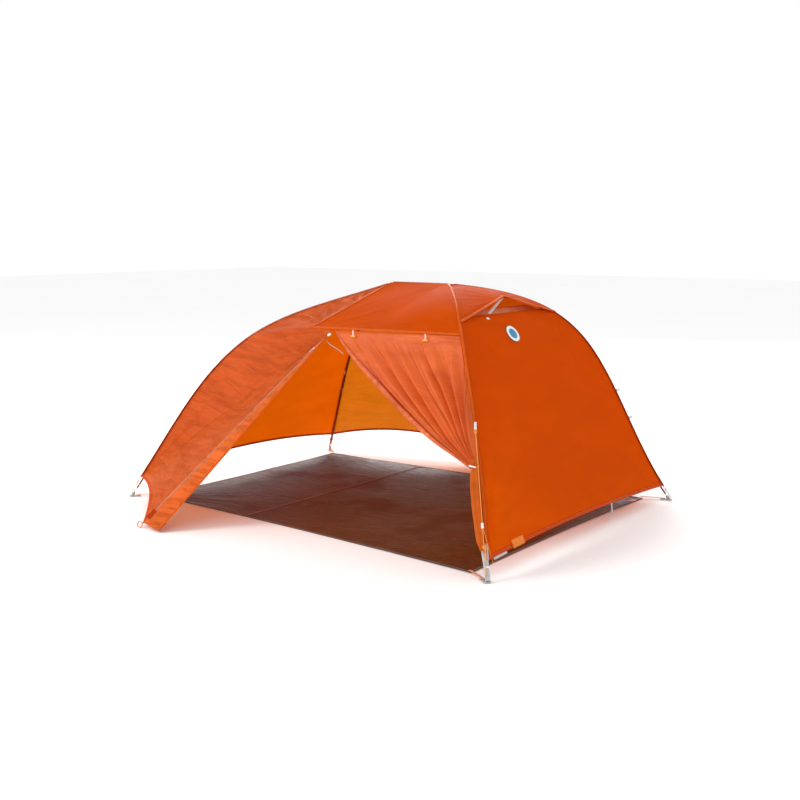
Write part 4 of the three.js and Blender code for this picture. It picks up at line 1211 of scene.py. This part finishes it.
for name, (end, side) in LEGS.items():
    hem_share = HEAD_HEM if end is HEAD else FOOT_HEM
    tip = pole_point(end, side, 0.975)
    to_tip = unit(tip - pole_point(end, side, 0.975 - 0.955 * 0.02))
    seat = tip + to_tip * ((tip.z - 0.006) / -to_tip.z)
    corner = SHEET_CORNERS[name]
    inward = unit(Vector((corner.x - seat.x, corner.y - seat.y, 0)))
    out = leg_out(end, side, 0.95)
    out = unit(Vector((out.x, out.y, 0)))
    across = Vector((-out.y, out.x, 0))
    start = leg(end, side, hem_share) + out * 0.002 + Vector((0, 0, -0.008))
    foot = Vector((seat.x, seat.y, 0.0069)) - inward * 0.015 + Vector((0, 0, 0.005))
    middle = start.lerp(Vector((seat.x, seat.y, 0.0069)) - inward * 0.015, 0.5) + out * 0.003
    line = [start.lerp(middle, t) for t in steps(10)] + [middle.lerp(foot, t) for t in steps(10)][1:]
    line = [leg(end, side, hem_share - 0.035 + 0.035 * t) + leg_out(end, side, hem_share) * 0.0025
            for t in steps(6)] + line
    look = GREY if end is HEAD else BRIGHT
    slot_name = "grey_webbing" if end is HEAD else "orange_webbing"
    dressed(tape(f"corner_strap_{name}", line, across, 0.015, look, 0.0014), "fly", slot_name,
            f"corner_webbing_{name}")
    tail_end = Vector((seat.x, seat.y, 0)) + inward * 0.029
    edge = corner + inward * 0.014
    path = [edge, edge - inward * 0.026, tail_end + inward * 0.024, tail_end, tail_end - inward * 0.008]
    heights = [0.0112, 0.0118, 0.0095, 0.0078, 0.0078]
    path = [Vector((p.x, p.y, h)) for p, h in zip(path, heights)]
    path = through_points(path, 30)
    dressed(tape(f"footprint_strap_{name}", path, Vector((-inward.y, inward.x, 0)), 0.015,
                 SALMON if end is HEAD else BRIGHT, 0.0013, away=BELOW), "frame", "grey_webbing",
            f"sheet_strap_{name}")

# --- toggles, tabs and loops ---


def toggle(label, x):
    share = (x + 0.15) / (leg(HEAD, NEAR, SHOULDER).x + 0.15)
    top = brow_foot(NEAR).lerp(leg(HEAD, NEAR, SHOULDER), share) + Vector((0, -0.026, -0.004))
    loop_line = [top + Vector((0.003 * math.sin(math.pi * t), -0.002 * bow(t), -0.031 * t))
                 for t in steps(10)]
    loop = tape(f"toggle_loop_{label}", loop_line, Vector((1, 0, 0)), 0.006, WHITE, 0.0016)
    bar_middle = top + Vector((0, 0, -0.031))
    bar_line = [bar_middle + Vector((x_at, 0, -0.0015 * bow((x_at + 0.016) / 0.032)))
                for x_at in steps(12, -0.016, 0.016)]
    bar = tape(f"toggle_bar_{label}", bar_line, Vector((0, 0.25, 1)), 0.007, TOGGLE, 0.0035)
    ring = rounded_rod(f"toggle_pin_{label}", bar_middle + Vector((-0.013, 0, 0)),
                       bar_middle + Vector((0.013, 0, 0)), 0.0024, TOGGLE)
    dressed(loop, f"toggle_{label}", "pale_trim", f"brow_toggle_{label}")
    for piece in (bar, ring):
        dressed(piece, f"toggle_{label}", "pale_trim")


toggle("foot", 0.155)
toggle("head", 0.626)

tie_at = TIE + Vector((0, -0.026, 0.002))
tie_bar = rounded_rod("tie_bar", tie_at + Vector((-0.022, 0, 0.002)),
                      tie_at + Vector((0.016, 0, -0.002)), 0.0036, PALE)
dressed(tie_bar, "fly", "pale_trim", "door_tie_toggle")
tie_middle = TIE + Vector((-0.006, -0.004, 0.0))
tie_turn = [tie_middle + Vector((0.021 * math.cos(a), 0.021 * math.sin(a), 0.003 * math.sin(2 * a)))
            for a in steps(28, -math.pi * 0.98, 0.98 * math.pi)]
dressed(tape("tie_loop", tie_turn, Vector((0, 0, 1)), 0.009, BRIGHT, 0.0014, away=TIE),
        "fly", "orange_webbing")

along_guy = unit(GUY_FOOT - GUY_TOP)
tab_line = [GUY_TOP + Vector((-0.014, 0.020, 0.030)).lerp(Vector((0, 0, -0.001)), t) for t in steps(10)]
dressed(tape("guy_tab_cloth", tab_line, Vector((1, 1, 0)), 0.012, WHITE, 0.0016),
        "fly", "pale_trim", "guy_tab")
ring_line = [GUY_TOP + along_guy * 0.010 + unit(Vector((1, 1, 0))) * 0.006 * math.sin(a)
             - along_guy * 0.010 * math.cos(a) for a in steps(26, 0, 2 * math.pi * 0.97)]
string("guy_loop", ring_line, 0.0014)


def knot_point(a):
    return Vector((math.sin(a) + 2 * math.sin(2 * a), math.cos(a) - 2 * math.cos(2 * a),
                   -1.4 * math.sin(3 * a)))


knot_middle = GUY_FOOT + along_guy * 0.004
string("guy_knot", [knot_middle + knot_point(a) * 0.0021 for a in steps(72, 0, 2 * math.pi)], 0.0015)

for label, side, body in (("near", NEAR, "near_door"), ("far", FAR, "fly")):
    down = unit(stake(side) - door_top(side))
    middle = stake(side) + down * 0.004 + Vector((0, side * 0.017, 0))
    middle.z = 0.0172
    ring_line = [middle + Vector((0, 0.0155 * math.cos(a), 0.0155 * math.sin(a)))
                 for a in steps(40, 0, 2 * math.pi * 0.985)]
    loop = tape(f"stake_loop_{label}_web", ring_line, Vector((1, 0, 0)), 0.008, BRIGHT, 0.0018, away=middle)
    dressed(loop, body, "orange_webbing", f"stake_loop_{label}")

# --- small sewn-on things ---


def on_head_end(down, across, lift=0.0035):
    """A point just outside the head end panel, with the directions across and up there."""
    share = HEAD_TOP + (HEAD_HEM - HEAD_TOP) * down
    p = head_point(share, across)
    level = unit(head_point(share, across + 0.01) - p)
    up = unit(p - head_point(share + 0.01, across))
    out = unit(level.cross(up))
    if out.x < 0:
        out = -out
    return p + out * lift, level, up, out


def disc(name, middle, level, up, out, half_width, half_height, thickness, look):
    bpy.ops.mesh.primitive_cylinder_add(vertices=48, radius=1, depth=1)
    piece = bpy.context.object
    piece.name = name
    turn = Matrix((level * half_width, up * half_height, out * thickness)).transposed().to_4x4()
    piece.matrix_world = Matrix.Translation(middle) @ turn
    only(piece)
    bpy.ops.object.transform_apply(location=True, rotation=True, scale=True)
    heal(piece)
    finish_mesh(piece, ('BEVEL', {"width": thickness * 0.35, "segments": 2, "limit_method": 'ANGLE'}))
    dressed(settle(piece, look), "fly", "pale_trim")


place, level, up, out = on_head_end(0.150, 0.425, 0.007)
disc("badge_rim", place, level, up, out, 0.050, 0.050, 0.0016, PLASTIC)
disc("badge_field", place + out * 0.0008, level, up, out, 0.046, 0.046, 0.0016, PALE)
disc("badge_middle", place + out * 0.0014, level, up, out, 0.030, 0.030, 0.0014, BADGE_BLUE)
place, level, up, out = on_head_end(0.030, 0.275, 0.003)
disc("vent_button", place, level, up, out, 0.011, 0.008, 0.0016, PALE)


def along_head_hem(a, b, count, raise_by=0.012):
    points = []
    for t in steps(count, a, b):
        p, _, up, _ = on_head_end(1.0, t, 0.003)
        points.append(p + up * raise_by)
    return points, up


line, up = along_head_hem(0.115, 0.170, 12, 0.014)
dressed(tape("hem_patch", line, up, 0.040, BRIGHT, 0.0018, lift=0.001), "fly", "orange_webbing")
line, up = along_head_hem(0.030, 0.090, 12, -0.006)
dressed(tape("hem_keeper", line, up, 0.016, GREY, 0.0018, lift=-0.003), "fly", "grey_webbing")

hem_mid, level, up, out = on_head_end(1.0, 0.66, 0.001)
pull_down = [hem_mid, hem_mid + Vector((0.004, 0.0, -0.045)), Vector((1.168, 0.46, 0.006))]
dressed(tape("head_hem_pull", through_points(pull_down, 14), Vector((0.15, 1, 0)), 0.011, GREY, 0.0014),
        "fly", "grey_webbing")
for label, share in (("high", 0.644), ("low", 0.736)):
    p = leg(HEAD, FAR, share) + leg_out(HEAD, FAR, share) * 0.003
    out = leg_out(HEAD, FAR, share)
    ahead = unit(leg(HEAD, FAR, share + 0.01) - leg(HEAD, FAR, share - 0.01))
    loop_line = [p + out * 0.022 * math.sin(a) + unit(ahead.cross(out)) * 0.003 * math.cos(a)
                 for a in steps(16, 0, math.pi)]
    dressed(tape(f"far_leg_tab_{label}", loop_line, ahead, 0.013, WHITE, 0.0014), "fly", "pale_trim")

# spare strand of the guy line, its tied end, and the second strap at that corner
lock_at = GUY_TOP.lerp(GUY_FOOT, 0.69)
strand = [lock_at + along_guy * 0.014 + Vector((0.003, 0.001, 0)),
          lock_at.lerp(Vector((1.245, -0.862, 0.075)), 0.4) + Vector((0.006, -0.012, 0)),
          lock_at.lerp(Vector((1.245, -0.862, 0.075)), 0.75) + Vector((0.006, -0.014, 0)),
          Vector((1.258, -0.880, 0.062))]
string("guy_spare_strand", through_points(strand, 30), 0.0013)
CORNER_LEG = [leg(HEAD, NEAR, s) for s in steps(14, 0.895, 0.985)]
inner = [p + Vector((-0.022, -0.010, 0.0)) * (1 - i / 14) + Vector((-0.004, -0.006, 0.004))
         for i, p in enumerate(CORNER_LEG)]
dressed(tape("corner_strap_head_near_inner", inner, Vector((1, 0.2, 0)), 0.010, GREY, 0.0013), "fly",
        "grey_webbing")
tied = leg(HEAD, NEAR, share_at(HEAD, 0.145)) + Vector((0.002, -0.024, 0))
for i, lean in enumerate((-0.4, 0.1, 0.5)):
    turn_line = [tied + Vector((0.013 * math.cos(a), 0.012 * math.sin(a),
                                0.005 * (i - 1) + lean * 0.006 * math.cos(a)))
                 for a in steps(24, 0, 2 * math.pi * 0.98)]
    string(f"tied_cord_{i}", turn_line, 0.0022)

label_line = [Vector((1.126, 0.775 + 0.05 * t, 0.0035)) for t in steps(8)]
dressed(tape("ground_sheet_tag", label_line, Vector((1, 0, 0)), 0.030, SALMON, 0.0012, away=BELOW),
        "frame", "ground_sheet")

# cord from the near foot corner to the hem, and the loose pull by the top of the near zip
corner_cord = [leg(FOOT, NEAR, 0.972) + Vector((0.0, -0.008, 0.0)), fold_line(NEAR, 1).lerp(
    stake(NEAR), 0.22) + Vector((0, 0, 0.012))]
corner_line = [corner_cord[0].lerp(corner_cord[1], t) + Vector((0, 0, -0.003)) * bow(t) for t in steps(16)]
string("near_corner_cord", corner_line, 0.0016)
pull_line = [door_top(NEAR) + Vector(v) for v in (
    (-0.036, -0.022, -0.050), (-0.004, -0.030, -0.072), (0.034, -0.036, -0.086), (0.072, -0.040, -0.100),
    (0.106, -0.042, -0.118))]
string("zip_pull_cord", through_points(pull_line, 28), 0.0022, GREY_CORD, "zip")
dressed(rounded_rod("zip_pull_end", door_top(NEAR) + Vector((-0.014, -0.026, -0.030)),
                    door_top(NEAR) + Vector((0.006, -0.028, -0.020)), 0.0065, PALE), "fly", "zip")
clip_share = 0.708
clip_ends = [leg(FOOT, FAR, clip_share + s) - leg_out(FOOT, FAR, clip_share) * 0.010
             for s in (-0.008, 0.008)]
dressed(rounded_rod("far_leg_clip", *clip_ends, 0.0085, PALE), "fly", "pale_trim")

# --- light and floor ---

bpy.ops.object.select_all(action='DESELECT')
bpy.ops.mesh.primitive_plane_add(size=60, location=(0, 0, -0.0015))
floor = bpy.context.object
floor.name = "studio_floor"
white = Finish("studio floor", 0.85, Specular_IOR_Level=0.2)
white.set(Base_Color=white.blend(white.noise(white.place(), 0.8), (0.93, 0.93, 0.93), (0.96, 0.96, 0.96)))
floor.data.materials.append(white.material)

world = bpy.data.worlds.new("studio")
bpy.context.scene.world = world
world.use_nodes = True
world.node_tree.nodes["Background"].inputs[0].default_value = (1.0, 1.0, 1.0, 1)
world.node_tree.nodes["Background"].inputs[1].default_value = 1.0


def soft_light(name, place, target, size, power, colour=(1, 1, 1)):
    light = bpy.data.lights.new(name, 'AREA')
    light.shape, light.size, light.energy, light.color = 'DISK', size, power, colour
    lamp = bpy.data.objects.new(name, light)
    bpy.context.collection.objects.link(lamp)
    lamp.location = place
    lamp.rotation_euler = (Vector(target) - Vector(place)).to_track_quat('-Z', 'Y').to_euler()


soft_light("window_left", (-4.5, -6.5, 6.0), (0, 0, 0.4), 3.5, 380, (1.0, 0.98, 0.95))
soft_light("window_back", (-4.0, 6.0, 4.5), (0, 0, 0.4), 5.0, 420)
